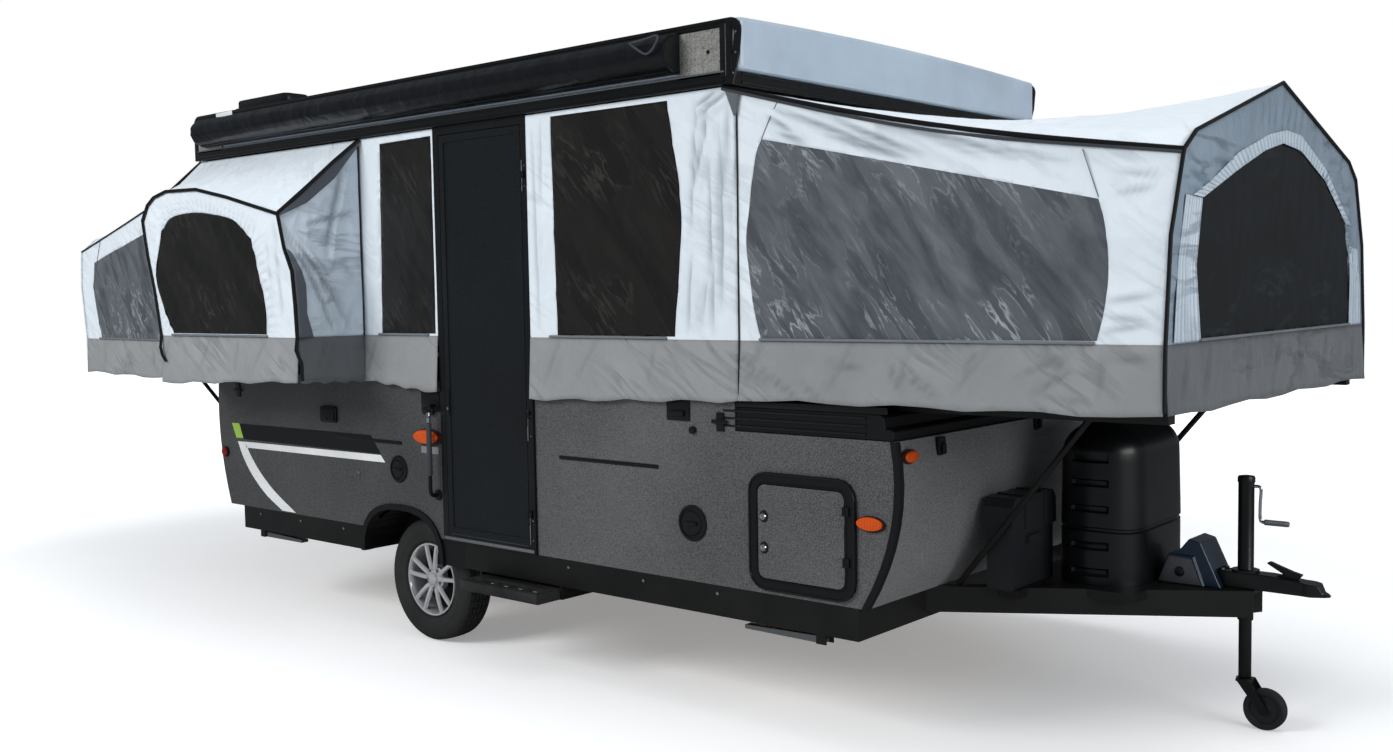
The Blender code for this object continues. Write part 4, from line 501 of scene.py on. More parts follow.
def cloth_panel(name, edges, lift, push, window=None, step=0.020, folds=(), crinkle=0.004, gather=0.0,
                pane_crinkle=0.002,
                seed=0.0, thick=0.0016, pleats=0.0):
    """One sheet: edges are its low, right, high and left lines in the flat, lift puts a flat point
    in space, push is the way its folds stand. A window has the same four lines, inside."""
    flats, cells, marks = [], [], []

    def grid(rows, mark):
        base = len(flats)
        wide = len(rows[0])
        for row in rows:
            flats.extend(row)
        for j in range(len(rows) - 1):
            for i in range(wide - 1):
                a = base + j * wide + i
                cells.append((a, a + 1, a + wide + 1, a + wide))
                marks.append(mark)

    low, right_line, high, left = [[Vector(p) for p in line] for line in edges]
    length = lambda line: sum((b - a).length for a, b in zip(line, line[1:]))
    if window is None:
        n, m = max(4, round(length(low) / step)), max(4, round(length(left) / step))
        grid(coons(along(low, n), along(high, n), along(left, m), along(right_line, m)), 0)
    else:
        inner = [rounded_line(line) if len(line) > 2 else [Vector(p) for p in line] for line in window]
        n, m = max(6, round(length(inner[0]) / step)), max(6, round(length(inner[3]) / step))
        sides = [along(line, n if k % 2 == 0 else m) for k, line in enumerate(inner)]
        outer = [along(line, n if k % 2 == 0 else m) for k, line in enumerate((low, right_line, high, left))]
        grid(coons(sides[0], sides[2], sides[3], sides[1]), 1)
        loops = []
        for lines in (sides, outer):
            loops.append(lines[0][:-1] + lines[1][:-1] + lines[2][::-1][:-1] + lines[3][::-1][:-1])
        gap = sum((a - b).length for a, b in zip(*loops)) / len(loops[0])
        deep = max(3, round(gap / step))
        rows = [[a.lerp(b, k / deep) for a, b in zip(*loops)] for k in range(deep + 1)]
        grid([row + row[:1] for row in rows], 0)
    around = [list(p) for line in (along(low, 24), along(right_line, 24), along(high, 24)[::-1],
                                   along(left, 24)[::-1]) for p in line]
    spots = numpy.array([list(p) for p in flats])
    far = numpy.full(len(spots), 1e9)
    for a, b in zip(around, around[1:] + around[:1]):
        a, b = numpy.array(a), numpy.array(b)
        ab = b - a
        share = numpy.clip(((spots - a) @ ab) / max(ab @ ab, 1e-12), 0, 1)
        far = numpy.minimum(far, numpy.linalg.norm(spots - a - share[:, None] * ab, axis=1))
    calm = numpy.clip(far / 0.06, 0, 1) ** 0.7
    rise = numpy.zeros(len(spots))
    # The valley beside each fold, the troughs of the pleats and the troughs of the gathers are kept as painted shade: a
    # vertex attribute that darkens the cloth's colour there.
    painted_fold_shade = numpy.zeros(len(spots))
    for (a, b), wide, deep in folds:
        a, b = numpy.array(a), numpy.array(b)
        ab = b - a
        size = max(float(numpy.linalg.norm(ab)), 1e-9)
        share = numpy.clip(((spots - a) @ ab) / size ** 2, 0, 1)
        off = numpy.linalg.norm(spots - a - share[:, None] * ab, axis=1)
        across = (ab[0] * (spots[:, 1] - a[1]) - ab[1] * (spots[:, 0] - a[0])) / size
        past = numpy.clip(off ** 2 - across ** 2, 0, None)
        ends = numpy.sin(numpy.pi * (0.06 + 0.88 * share)) ** 0.7
        valley = numpy.exp(-((across + 1.4 * wide) / (0.8 * wide)) ** 2 - past / wide ** 2) * ends
        rise += deep * (numpy.exp(-(off / wide) ** 2) * ends - 0.6 * valley)
        painted_fold_shade = numpy.maximum(painted_fold_shade, valley * min(1.0, deep / 0.012))
    if pleats and window is None:
        run = numpy.tile(numpy.arange(n + 1), m + 1) * length(low) / n
        wave = numpy.sin(run * math.tau / 0.030 + 1.6 * numpy.sin(run * 13.0 + seed))
        rise += pleats * wave
        painted_fold_shade = numpy.maximum(painted_fold_shade, numpy.clip(-wave, 0, 1) * 0.8)
    paned = numpy.zeros(len(spots), bool)
    for cell, mark in zip(cells, marks):
        if mark:
            paned[list(cell)] = True
    rough = numpy.array([noise.fractal(Vector((p[0] * 3.2 + seed, p[1] * 3.2, seed * 1.7)), 1.0, 2.0,
            3) for p in spots])
    ridge = numpy.array([1 - abs(noise.noise(Vector((p[0] * 9 + seed, p[1] * 5 - p[0] * 4,
            seed)))) * 2.2 for p in spots])
    ridge = numpy.clip(ridge, 0, 1) ** 3
    amount = numpy.where(paned, pane_crinkle, crinkle)
    rise = (rise + rough * amount * 1.2 + ridge * amount) * calm
    if gather and window is not None:
        loop = loops[0]
        near = numpy.full(len(spots), 1e9)
        run = numpy.zeros(len(spots))
        total = 0.0
        for a, b in zip(loop, loop[1:] + loop[:1]):
            a, b = numpy.array(list(a)), numpy.array(list(b))
            ab = b - a
            size = max(float(numpy.linalg.norm(ab)), 1e-9)
            share = numpy.clip(((spots - a) @ ab) / size ** 2, 0, 1)
            off = numpy.linalg.norm(spots - a - share[:, None] * ab, axis=1)
            closer = off < near
            near = numpy.where(closer, off, near)
            run = numpy.where(closer, total + share * size, run)
            total += size
        wave = numpy.sin(run * math.tau / 0.035 + 2.0 * numpy.sin(run * 9.0))
        inside = numpy.exp(-near / 0.05) * (1 - numpy.exp(-near / 0.012)) * calm
        rise += numpy.where(paned, 0.0, gather * wave * inside)
        painted_fold_shade = numpy.maximum(painted_fold_shade, numpy.where(paned, 0.0, numpy.clip(-wave, 0, 1) * inside * min(1.0, gather / 0.008)))
    way = Vector(push)
    bm = bmesh.new()
    shadow = bm.verts.layers.float.new("painted_fold_shade")
    verts = [bm.verts.new(lift(p[0], p[1]) + way * h) for p, h in zip(spots, rise)]
    for vert, value in zip(verts, painted_fold_shade):
        vert[shadow] = float(value)
    for cell, mark in zip(cells, marks):
        face = bm.faces.new([verts[i] for i in cell])
        face.material_index = mark
        face.smooth = True
    bmesh.ops.remove_doubles(bm, verts=bm.verts, dist=0.0002)
    bmesh.ops.recalc_face_normals(bm, faces=bm.faces)
    if sum(f.normal.dot(way) * f.calc_area() for f in bm.faces) < 0:
        bmesh.ops.reverse_faces(bm, faces=bm.faces)
    area = sum(f.calc_area() for f in bm.faces)
    mesh = bpy.data.meshes.new(name)
    bm.to_mesh(mesh)
    bm.free()
    obj = bpy.data.objects.new(name, mesh)
    bpy.context.scene.collection.objects.link(obj)
    deselect()
    obj.select_set(True)
    bpy.context.view_layer.objects.active = obj
    body = obj.modifiers.new("thickness", "SOLIDIFY")
    body.thickness, body.offset = thick, -1.0
    bpy.ops.object.modifier_apply(modifier=body.name)
    return obj, area


def coated_cloth(name, colour, shade, roughness=0.62, crease=0.5, sheen=0.15, fold_shade_colour="#8E98A2", lines=0.35):
    """Woven polyester with a coating: a fine weave, slanting creases drawn as grey lines of painted shade, a slow
    change of tone, and painted shadow kept in the folds that the sheet was modelled with."""
    made, tree, shader = new_material(name)
    shader.inputs["Sheen Weight"].default_value = sheen
    place = node(tree, "TexCoord").outputs["Object"]
    across = node(tree, "Mapping", {"Vector": place, "Scale": (1.0, 1.0, 0.45)})
    slow = node(tree, "TexNoise", {"Vector": place, "Scale": 2.2, "Detail": 5.0, "Roughness": 0.6})
    crumple = node(tree, "TexNoise", {"Vector": across.outputs[0], "Scale": 13.0, "Detail": 7.0, "Roughness": 0.55,
            "Distortion": 0.5})
    weave = node(tree, "TexVoronoi", {"Vector": place, "Scale": 420.0}, feature="SMOOTH_F1")
    tone = node(tree, "ValToRGB", {"Fac": slow.outputs["Fac"]})
    tone.color_ramp.elements[0].position, tone.color_ramp.elements[1].position = 0.3, 0.7
    tone.color_ramp.elements[0].color, tone.color_ramp.elements[1].color = linear(shade), linear(colour)
    # Thin slanting grey lines, in patches, darken the colour toward the fold colour: painted shade along creases.
    slanted = node(tree, "Mapping", {"Vector": place, "Rotation": (0, math.radians(32), 0), "Scale": (1.0, 1.0, 0.16)},
                   vector_type="TEXTURE")
    crossing = node(tree, "TexNoise", {"Vector": slanted.outputs[0], "Scale": 2.2, "Detail": 3.0, "Roughness": 0.5,
            "Distortion": 0.3})
    thin = node(tree, "Math", {0: crossing.outputs["Fac"], 1: 0.5}, operation="SUBTRACT")
    thin = node(tree, "Math", {0: thin.outputs[0]}, operation="ABSOLUTE")
    thin = node(tree, "MapRange", {"Value": thin.outputs[0], "From Max": 0.08, "To Min": 1.0, "To Max": 0.0},
                interpolation_type="SMOOTHSTEP")
    crease_shade_patches = node(tree, "MapRange", {"Value": slow.outputs["Fac"], "From Min": 0.45, "From Max": 0.62, "To Max": lines})
    thin = node(tree, "Math", {0: thin.outputs["Result"], 1: crease_shade_patches.outputs["Result"]}, operation="MULTIPLY")
    crease_shaded = node(tree, "Mix", {"Factor": thin.outputs[0], "B": linear(fold_shade_colour)}, data_type="RGBA")
    tree.links.new(tone.outputs["Color"], crease_shaded.inputs["A"])
    # The valleys of the modelled folds are darkened toward the fold colour: painted shade.
    held = node(tree, "Attribute", attribute_name="painted_fold_shade")
    held = node(tree, "Math", {0: held.outputs["Fac"], 1: 0.75}, operation="MULTIPLY")
    fold_shaded = node(tree, "Mix", {"Factor": held.outputs[0], "A": crease_shaded.outputs["Result"], "B": linear(fold_shade_colour)},
                  data_type="RGBA")
    raised = node(tree, "Math", {0: thin.outputs[0], 1: crumple.outputs["Fac"]}, operation="ADD")
    first = node(tree, "Bump", {"Height": raised.outputs[0], "Strength": crease, "Distance": 0.02})
    second = node(tree, "Bump", {"Height": weave.outputs["Distance"], "Strength": 0.12, "Distance": 0.0008,
                                 "Normal": first.outputs["Normal"]})
    rough = node(tree, "MapRange", {"Value": crumple.outputs["Fac"], "To Min": roughness - 0.1,
                                    "To Max": roughness + 0.1})
    linked(tree, shader, None, rough, second)
    tree.links.new(fold_shaded.outputs["Result"], shader.inputs["Base Color"])
    return made


def window_cloth(name, colour, painted_highlight, roughness, crease, scale=7.0, coat=0.0):
    """A dark screen behind soft vinyl: nearly black, with pale streaks painted where the vinyl wrinkles, a painted
    highlight that fades near a height of 1.72 m.
    """
    made, tree, shader = new_material(name)
    shader.inputs["Coat Weight"].default_value = coat
    shader.inputs["Coat Roughness"].default_value = 0.18
    place = node(tree, "TexCoord").outputs["Object"]
    turned = node(tree, "Mapping", {"Vector": place, "Rotation": (0, math.radians(52), 0), "Scale": (1.0, 1.0, 0.22)},
                  vector_type="TEXTURE")
    crumple = node(tree, "TexNoise", {"Vector": turned.outputs[0], "Scale": scale, "Detail": 4.0, "Roughness": 0.55,
            "Distortion": 0.35})
    # The pale streaks on the crumple's contours and on its high points are painted highlight, the vinyl's wrinkles
    # catching light; the band below fades them near a height of 1.72 m.
    ridges = node(tree, "Math", {0: crumple.outputs["Fac"], 1: 7.0}, operation="MULTIPLY")
    ridges = node(tree, "Math", {0: ridges.outputs[0], 1: 0.5}, operation="PINGPONG")
    ridges = node(tree, "MapRange", {"Value": ridges.outputs[0], "From Min": 0.36, "From Max": 0.5})
    slow = node(tree, "TexNoise", {"Vector": place, "Scale": 3.6, "Detail": 3.0})
    patch = node(tree, "MapRange", {"Value": slow.outputs["Fac"], "From Min": 0.42, "From Max": 0.62})
    height = node(tree, "SeparateXYZ", {"Vector": place}).outputs["Z"]
    height = node(tree, "Math", {0: height, 1: 1.72}, operation="SUBTRACT")
    height = node(tree, "Math", {0: height.outputs[0]}, operation="ABSOLUTE")
    band = node(tree, "MapRange", {"Value": height.outputs[0], "From Min": 0.04, "From Max": 0.24, "To Min": 0.15})
    shown = node(tree, "Math", {0: ridges.outputs["Result"], 1: patch.outputs["Result"]}, operation="MULTIPLY")
    shown = node(tree, "Math", {0: shown.outputs[0], 1: band.outputs["Result"]}, operation="MULTIPLY")
    folds = node(tree, "MapRange", {"Value": crumple.outputs["Fac"], "From Min": 0.35, "From Max": 0.70,
                                    "To Max": 0.30})
    shown = node(tree, "Math", {0: shown.outputs[0], 1: folds.outputs["Result"]}, operation="ADD")
    tone = node(tree, "ValToRGB", {"Fac": shown.outputs[0]})
    tone.color_ramp.elements[0].color, tone.color_ramp.elements[1].color = linear(colour), linear(painted_highlight)
    bump = node(tree, "Bump", {"Height": crumple.outputs["Fac"], "Strength": crease, "Distance": 0.03})
    rough = node(tree, "MapRange", {"Value": slow.outputs["Fac"], "To Min": roughness - 0.08,
                                    "To Max": roughness + 0.1})
    linked(tree, shader, tone, rough, bump)
    return made


white_cloth = coated_cloth("coated_white_polyester", "#E4EBF0", "#D6DFE6", 0.6, 0.5, 0.15, "#7F8A95", 0.22)
grey_cloth = coated_cloth("coated_grey_polyester", "#969899", "#868889", 0.62, 0.5, 0.15, "#67696B", 0.5)
# A darker copy of the grey cloth, painted shade: used for the bunks' end skirts, the side bunk's fore skirt and the
# small tab at the front corner.
shaded_cloth = coated_cloth("coated_grey_polyester_painted_shade", "#666A6D", "#5A5E61", 0.62, 0.5, 0.15, "#3E4245", 0.5)
silver_cloth = coated_cloth("silvered_polyester", "#96A6B4", "#7F8E9C", 0.36, 0.6, 0.0, "#4C5862", 0.6)
# A lighter copy of the silvered cloth with painted light: on the side bunk's closing cloths the pale tone stands in for
# light that faces turned from the key lamp lack; it also makes the pale end bands and strips.
pale_silver = coated_cloth("pale_silvered_polyester_painted_light", "#D6E2EC", "#BAC8D4", 0.42, 0.6, 0.0, "#77848F", 0.6)
brown_screen = window_cloth("screen_behind_tinted_vinyl", "#131210", "#33302C", 0.42, 0.25, 2.2)
clear_vinyl = window_cloth("crinkled_vinyl_over_screen", "#43474C", "#9CA1A6", 0.34, 0.5, 3.4, 0.1)
black_screen = window_cloth("black_screen", "#0A0D10", "#1C242A", 0.5, 0.2, 2.0)
black_cord = moulded("woven_black_piping", "#0E0F10", 0.6, 1.2)


def piping(name, points, radius=0.006, body="trailer", material=None):
    """A round cord along a line, drawn as a curve and turned into a mesh."""
    deselect()
    line = bpy.data.curves.new(name, "CURVE")
    line.dimensions = "3D"
    line.bevel_depth = radius
    line.bevel_resolution = 2
    line.use_fill_caps = True
    spline = line.splines.new("POLY")
    spline.points.add(len(points) - 1)
    for spot, point in zip(spline.points, points):
        spot.co = (*at(*point), 1.0)
    obj = bpy.data.objects.new(name, line)
    bpy.context.scene.collection.objects.link(obj)
    obj.select_set(True)
    bpy.context.view_layer.objects.active = obj
    bpy.ops.object.convert(target="MESH")
    obj = bpy.context.object
    bpy.ops.object.shade_smooth()
    fit(obj, material or black_cord, body)
    return obj

# Bunk tents, front and rear. Each is sewn from two white sides with a long window of crinkled
# vinyl, a white top that sags between its bows and a silvered end under an arch of gathers.
def span(name):
    """The low and high corner of a CAD node, from the axle and the centre line."""
    low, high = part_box(name)
    return Vector(low) - ORIGIN, Vector(high) - ORIGIN


def between(value, table):
    """A value read from a short table of (place, value) pairs."""
    for (a, p), (b, q) in zip(table, table[1:]):
        if value <= b:
            return p + (q - p) * max(0.0, (value - a) / (b - a))
    return table[-1][1]


def tent_sheet(name, edges, lift, push, cloth, pane, rests_on, replaced=(), held="stretched", **how):
    """One panel of the tent with its materials."""
    obj, area = cloth_panel(name, edges, lift, push, **how)
    obj.data.materials.append(cloth)
    if pane:
        obj.data.materials.append(pane)
    fit(obj, None, "trailer", *replaced)
    spots = [Vector(p) for line in edges for p in line]
    wide = (max(p.x for p in spots) - min(p.x for p in spots)) * 1.02
    tall = max((max(p.y for p in spots) - min(p.y for p in spots)) * 1.02, area / wide)
    if area < 0.35 * wide * tall:  # a bowed strip, cut straight and eased round its curve
        wide = sum((Vector(b) - Vector(a)).length for a, b in zip(edges[2], edges[2][1:])) * 1.03
        tall = area / wide * 1.04
    return obj


SKIRT_TOP = 1.354
SKIRT_LOW = 1.150
ROOF_UNDER = span("roof_rail")[0].z - 0.004
WALL_HALF = span("street_wall_tent")[1].y
SEAM = 0.053
BOWS = {
    "front": dict(root=span("front_bunk_tent")[0].x, end=span("front_bunk_tent")[1].x, way=1, sag=0.030,
                  side=((1.145, 0.990), (SKIRT_TOP, 0.990), (1.660, 0.955), (1.905, 0.860)),
                  crown=((0.0, 2.176), (0.770, 1.962), (0.860, 1.905)), lean=((1.0, 0.0), (3.0, 0.0))),
    "rear": dict(root=span("rear_bunk_tent")[1].x, end=span("rear_bunk_tent")[0].x, way=-1, sag=0.008,
                 side=((1.145, 0.990), (SKIRT_TOP, 0.990), (1.660, 0.985), (1.865, 0.962)),
                 crown=((0.0, 2.176), (0.880, 1.935), (0.962, 1.865)),
                 lean=((1.30, 0.0), (1.40, 0.012), (1.60, 0.050), (1.865, 0.090), (2.2, 0.100))),
}
FRONT_ROOT, FRONT_END = BOWS["front"]["root"], BOWS["front"]["end"]
REAR_ROOT, REAR_END = BOWS["rear"]["root"], BOWS["rear"]["end"]
CORNER = FRONT_ROOT + SEAM


def droop(x):
    """How far the rear bunk and its tent hang below the front one's line."""
    return 0.048 * min(1.0, max(0.0, (REAR_ROOT - x) / 0.5))


def on_side(label, side, u, z, proud=0.0):
    """A place on a bunk tent's side, u metres out from the roof; the rear bow leans outward."""
    bow = BOWS[label]
    share = min(max(u / abs(bow["end"] - bow["root"]), 0.0), 1.0)
    half = WALL_HALF + (between(z, bow["side"]) - WALL_HALF) * share + proud
    x = bow["root"] + bow["way"] * u
    return x + bow["way"] * between(z, bow["lean"]) * share, side * half, z - droop(x)


def eave_height(label, share):
    bow = BOWS[label]
    return ROOF_UNDER + (bow["side"][-1][0] - ROOF_UNDER) * share - bow["sag"] * math.sin(math.pi * share)


def wall_place(side):
    """The wall's plane, which turns in towards the bunk tent ahead of the front seam."""
    def place(x, z):
        if x > FRONT_ROOT:
            return at(*on_side("front", side, x - FRONT_ROOT, z, -0.002))
        return at(x, side * (WALL_HALF - 0.002), z)
    return place


def bunk_tent(label, seam, side_pane, end_pane, side_folds, seed, *replaced):
    bow = BOWS[label]
    root, end, way = bow["root"], bow["end"], bow["way"]
    reach = abs(end - root)
    eave_half, eave_z = bow["crown"][-1]
    eave = [(seam + (reach - seam) * k / 10,
             eave_height(label, (seam + (reach - seam) * k / 10) / reach)) for k in range(11)]
    edges = ([(seam, SKIRT_TOP), (reach, SKIRT_TOP)], [(reach, SKIRT_TOP), (reach, 1.66), (reach, eave_z)], eave,
             [(seam, SKIRT_TOP), eave[0]])
    window = ([(0.143, 1.361), (1.316, 1.364)],
              [(1.316, 1.364), (1.332, 1.438), (1.341, 1.529), (1.336, 1.638), (1.313, 1.722), (1.291, 1.774)],
              [(0.148, 2.034), (1.291, 1.774)],
              [(0.143, 1.361), (0.112, 1.485), (0.094, 1.615), (0.088, 1.702), (0.096, 1.788), (0.125, 1.980),
               (0.148, 2.034)])
    if label == "rear":
        window = ([(0.143, 1.361), (1.290, 1.361)], [(1.290, 1.361), (1.318, 1.500), (1.330, 1.640), (1.322, 1.796)],
                  [(0.148, 2.050), (1.322, 1.796)], window[3][:-1] + [(0.148, 2.050)])
    for hand, side in HANDS:
        shown = label == "front" and side < 0
        tent_sheet("%s_bunk_side_%s" % (label, hand), edges, lambda u, z: at(*on_side(label, side, u, z)), (0, side, 0),
                   white_cloth, side_pane, ["roof_rail", "%s_bunk_deck" % label], replaced if side < 0 else (),
                   window=window,
                   folds=side_folds, crinkle=0.0035, pane_crinkle=0.004, seed=seed + side,
                   step=0.0115 if shown else 0.020)

    def top_place(t, u):
        share = min(max(u / reach, 0.0), 1.0)
        part = t / 0.9
        half = WALL_HALF + (eave_half - WALL_HALF) * share
        sag = (bow["sag"] + (0.065 - bow["sag"]) * (1 - part * part)) * math.sin(math.pi * share)
        z = ROOF_UNDER + (between(abs(part) * eave_half, bow["crown"]) - ROOF_UNDER) * share - sag
        x = root + way * u
        return at(x + way * between(z, bow["lean"]) * share, part * half, z - droop(x))

    side_line = [(0.0, reach * k / 8) for k in range(9)]
    tent_sheet("%s_bunk_top" % label, ([(-0.9, 0), (0.9, 0)], [(0.9, v) for _, v in side_line],
            [(-0.9, reach), (0.9, reach)],
                                       [(-0.9, v) for _, v in side_line]),
               top_place, (0, 0, 1), white_cloth, None, ["roof_rail", "%s_bunk_side_curb" % label], crinkle=0.003,
               seed=seed + 3)

    def end_place(proud):
        return lambda y, z: at(end + way * (between(z, bow["lean"]) + proud), y, z - droop(end))

    half_line = [(half, z) for z, half in bow["side"][1:]]
    crown = [(-y, z) for y, z in bow["crown"][:0:-1]] + [tuple(p) for p in bow["crown"]]
    inner = [(-0.718, 1.774), (-0.428, 1.870), (-0.180, 1.945), (0.0, 1.980), (0.190, 1.968), (0.470, 1.880),
             (0.735, 1.733)]
    outer = [(-0.800, 1.778), (-0.655, 1.826), (-0.429, 1.922), (-0.140, 2.000), (0.030, 2.026), (0.190, 2.020),
             (0.469, 1.925),
             (0.799, 1.728)]
    arch = ([(-0.735, 1.360), (0.795, 1.360)], [(0.795, 1.360), (0.797, 1.533), (0.735, 1.733)], inner,
            [(-0.735, 1.360), (-0.770, 1.575), (-0.718, 1.774)])
    radial = [((-0.840, 1.781), (-0.745, 1.799)), ((-0.820, 1.816), (-0.711, 1.793)),
              ((-0.800, 1.865), (-0.692, 1.836)),
              ((-0.620, 1.965), (-0.500, 1.940)), ((-0.600, 1.905), (-0.470, 1.905)), ((0.420, 2.060), (0.300, 2.035)),
              ((0.553, 2.010), (0.437, 1.985)), ((0.640, 1.948), (0.520, 1.925)), ((0.830, 1.853), (0.650, 1.845)),
              ((0.820, 1.800), (0.740, 1.790))] + [((-0.22 + 0.065 * k, 2.035),
            (-0.20 + 0.068 * k, 2.115)) for k in range(7)]
    tent_sheet("%s_bunk_end" % label, ([(-0.990, SKIRT_TOP), (0.990, SKIRT_TOP)], half_line, crown,
            [(-y, z) for y, z in half_line]),
               end_place(0.0), (way, 0, 0), silver_cloth, end_pane, ["%s_bunk_deck" % label], window=arch,
               crinkle=0.005, gather=0.002, pane_crinkle=0.002, seed=seed + 5, step=0.015,
               folds=[(line, 0.012, 0.009) for line in radial])
    tent_sheet("%s_bunk_end_band" % label, (inner, [inner[-1], outer[-1]], outer, [inner[0], outer[0]]),
               end_place(0.006),
               (way, 0, 0), pale_silver, None, ["%s_bunk_end" % label], crinkle=0.001, pleats=0.003, step=0.0085,
               seed=seed + 7)
    for hand, outline in (("curb", ([(-0.935, 1.358), (-0.730, 1.358)],
                                    [(-0.730, 1.358), (-0.768, 1.575), (-0.722, 1.772)],
                                  [(-0.850, 1.778), (-0.722, 1.772)], [(-0.935, 1.358), (-0.905, 1.600),
            (-0.850, 1.778)])),
                        ("street", ([(0.790, 1.358), (0.945, 1.358)], [(0.945, 1.358), (0.935, 1.500), (0.895, 1.640)],
                                    [(0.782, 1.655), (0.895, 1.640)], [(0.790, 1.358), (0.797, 1.533),
            (0.782, 1.655)]))):
        tent_sheet("%s_bunk_end_strip_%s" % (label, hand), outline, end_place(0.005), (way, 0, 0), pale_silver, None,
                   ["%s_bunk_end" % label], crinkle=0.002, pleats=0.0022, step=0.010, seed=seed + 9)


front_folds = [(line, 0.013, 0.015) for line in (
    ((0.392, 2.050), (0.676, 1.952)), ((0.512, 2.020), (0.644, 1.959)), ((0.223, 2.142), (0.578, 1.999)),
    ((0.433, 2.093), (0.729, 1.958)), ((0.623, 2.061), (0.906, 1.975)), ((0.719, 2.048), (1.035, 1.927)),
    ((0.186, 2.119), (0.281, 2.064)), ((0.222, 2.063), (0.316, 2.029)))]
front_folds += [(line, 0.012, 0.007) for line in (
    ((0.761, 2.006), (0.936, 1.934)), ((0.896, 1.985), (1.189, 1.907)), ((1.343, 1.806), (1.443, 1.813)),
    ((1.340, 1.872), (1.461, 1.847)), ((1.343, 1.493), (1.469, 1.509)), ((1.354, 1.447), (1.455, 1.438)),
    ((1.338, 1.407), (1.455, 1.425)))]
bunk_tent("front", SEAM, clear_vinyl, black_screen, front_folds, 3.0, "front_bunk_tent")
bunk_tent("rear", 0.0, clear_vinyl, black_screen, front_folds[:4], 11.0, "rear_bunk_tent")


# Wall tents: the same white cloth between the box and the roof, with tall windows of tinted
# vinyl. At the front corner the loose cloth falls in long folds from the roof rail.
def wall_panel(name, x, side, window, folds, replaced=(), seed=0.0, **how):
    rear, fore = x
    top = ROOF_UNDER if fore < CORNER else eave_height("front", SEAM / (FRONT_END - FRONT_ROOT))
    edges = ([(rear, SKIRT_TOP), (fore, SKIRT_TOP)], [(fore, SKIRT_TOP), (fore, top)],
             [(rear, ROOF_UNDER), (min(fore, FRONT_ROOT), ROOF_UNDER), (fore, top)],
             [(rear, SKIRT_TOP), (rear, ROOF_UNDER)])
    if fore < CORNER:
        edges[2].pop(1)
    return tent_sheet(name, edges, wall_place(side), (0, side, 0), white_cloth, brown_screen,
                      ["roof_rail"], replaced, held="hung", window=window, folds=folds, seed=seed, **how)


def tall_window(a, b, low=1.364, high=2.205, bulge=0.012):
    return ([(a, low), (b, low)], [(b, low), (b + bulge, 1.78), (b - bulge, high)], [(a, high), (b - bulge, high)],
            [(a, low), (a - bulge * 0.3, 1.78), (a, high)])


wall_front = span("curb_wall_tent_front")
wall_rear = span("curb_wall_tent_rear")
corner_folds = [(line, 0.013, 0.018) for line in (
    ((1.728, 1.960), (1.744, 1.375)), ((1.781, 2.098), (1.786, 1.461)), ((1.701, 2.039), (1.668, 1.887)),
    ((1.818, 2.200), (1.688, 2.117)), ((1.762, 2.200), (1.660, 2.150)), ((1.812, 2.137), (1.802, 1.855)),
    ((1.705, 1.553), (1.686, 1.400)), ((1.675, 2.190), (1.640, 1.720)), ((1.640, 1.640), (1.625, 1.385)),
    ((1.735, 2.190), (1.700, 1.990)))]
corner_folds += [(((0.830, 2.150), (0.845, 1.400)), 0.013, 0.008), (((0.880, 2.190), (0.870, 1.900)), 0.011, 0.007)]
wall_panel("curb_wall_front", (wall_front[0].x, CORNER), -1,
           ([(0.931, 1.364), (1.540, 1.364)], [(1.540, 1.364), (1.565, 1.60), (1.581, 1.815), (1.522, 2.203)],
            [(0.918, 2.205), (1.522, 2.203)], [(0.931, 1.364), (0.924, 1.80), (0.918, 2.205)]),
           corner_folds, ("curb_wall_tent_front",), 21.0, crinkle=0.004, pane_crinkle=0.0015, step=0.0115)
# The tab is cut from the darker grey copy: painted shade under the roof rail at the front corner.
tent_sheet("corner_tab_curb", ([(1.828, 2.120), (1.838, 2.120)], [(1.838, 2.120), (1.856, 2.205)],
                               [(1.796, 2.205), (1.856, 2.205)],
                               [(1.828, 2.120), (1.796, 2.205)]),
           lambda x, z: wall_place(-1)(x, z) + Vector((0, -0.012, 0)), (0, -1, 0), shaded_cloth, None, ["roof_rail"],
           crinkle=0.001, step=0.010)
wall_panel("curb_wall_rear", (wall_rear[0].x, wall_rear[1].x), -1,
           ([(-0.189, 1.364), (wall_rear[1].x - 0.014, 1.364)],
            [(wall_rear[1].x - 0.014, 1.364), (wall_rear[1].x - 0.010, 1.80), (wall_rear[1].x - 0.012, 2.195)],
            [(-0.168, 2.190), (wall_rear[1].x - 0.012, 2.195)], [(-0.189, 1.364), (-0.178, 1.80), (-0.168, 2.190)]),
           [(((-0.25, 2.15), (-0.245, 1.42)), 0.014, 0.009)], ("curb_wall_tent_rear",), 27.0, crinkle=0.004,
           pane_crinkle=0.002)
street_seam = 0.06
wall_panel("street_wall_rear", (REAR_ROOT, street_seam), 1, tall_window(-1.35, -0.35), [], ("street_wall_tent",), 31.0)
wall_panel("street_wall_front", (street_seam, CORNER), 1, tall_window(0.45, 1.45), [], (), 37.0)

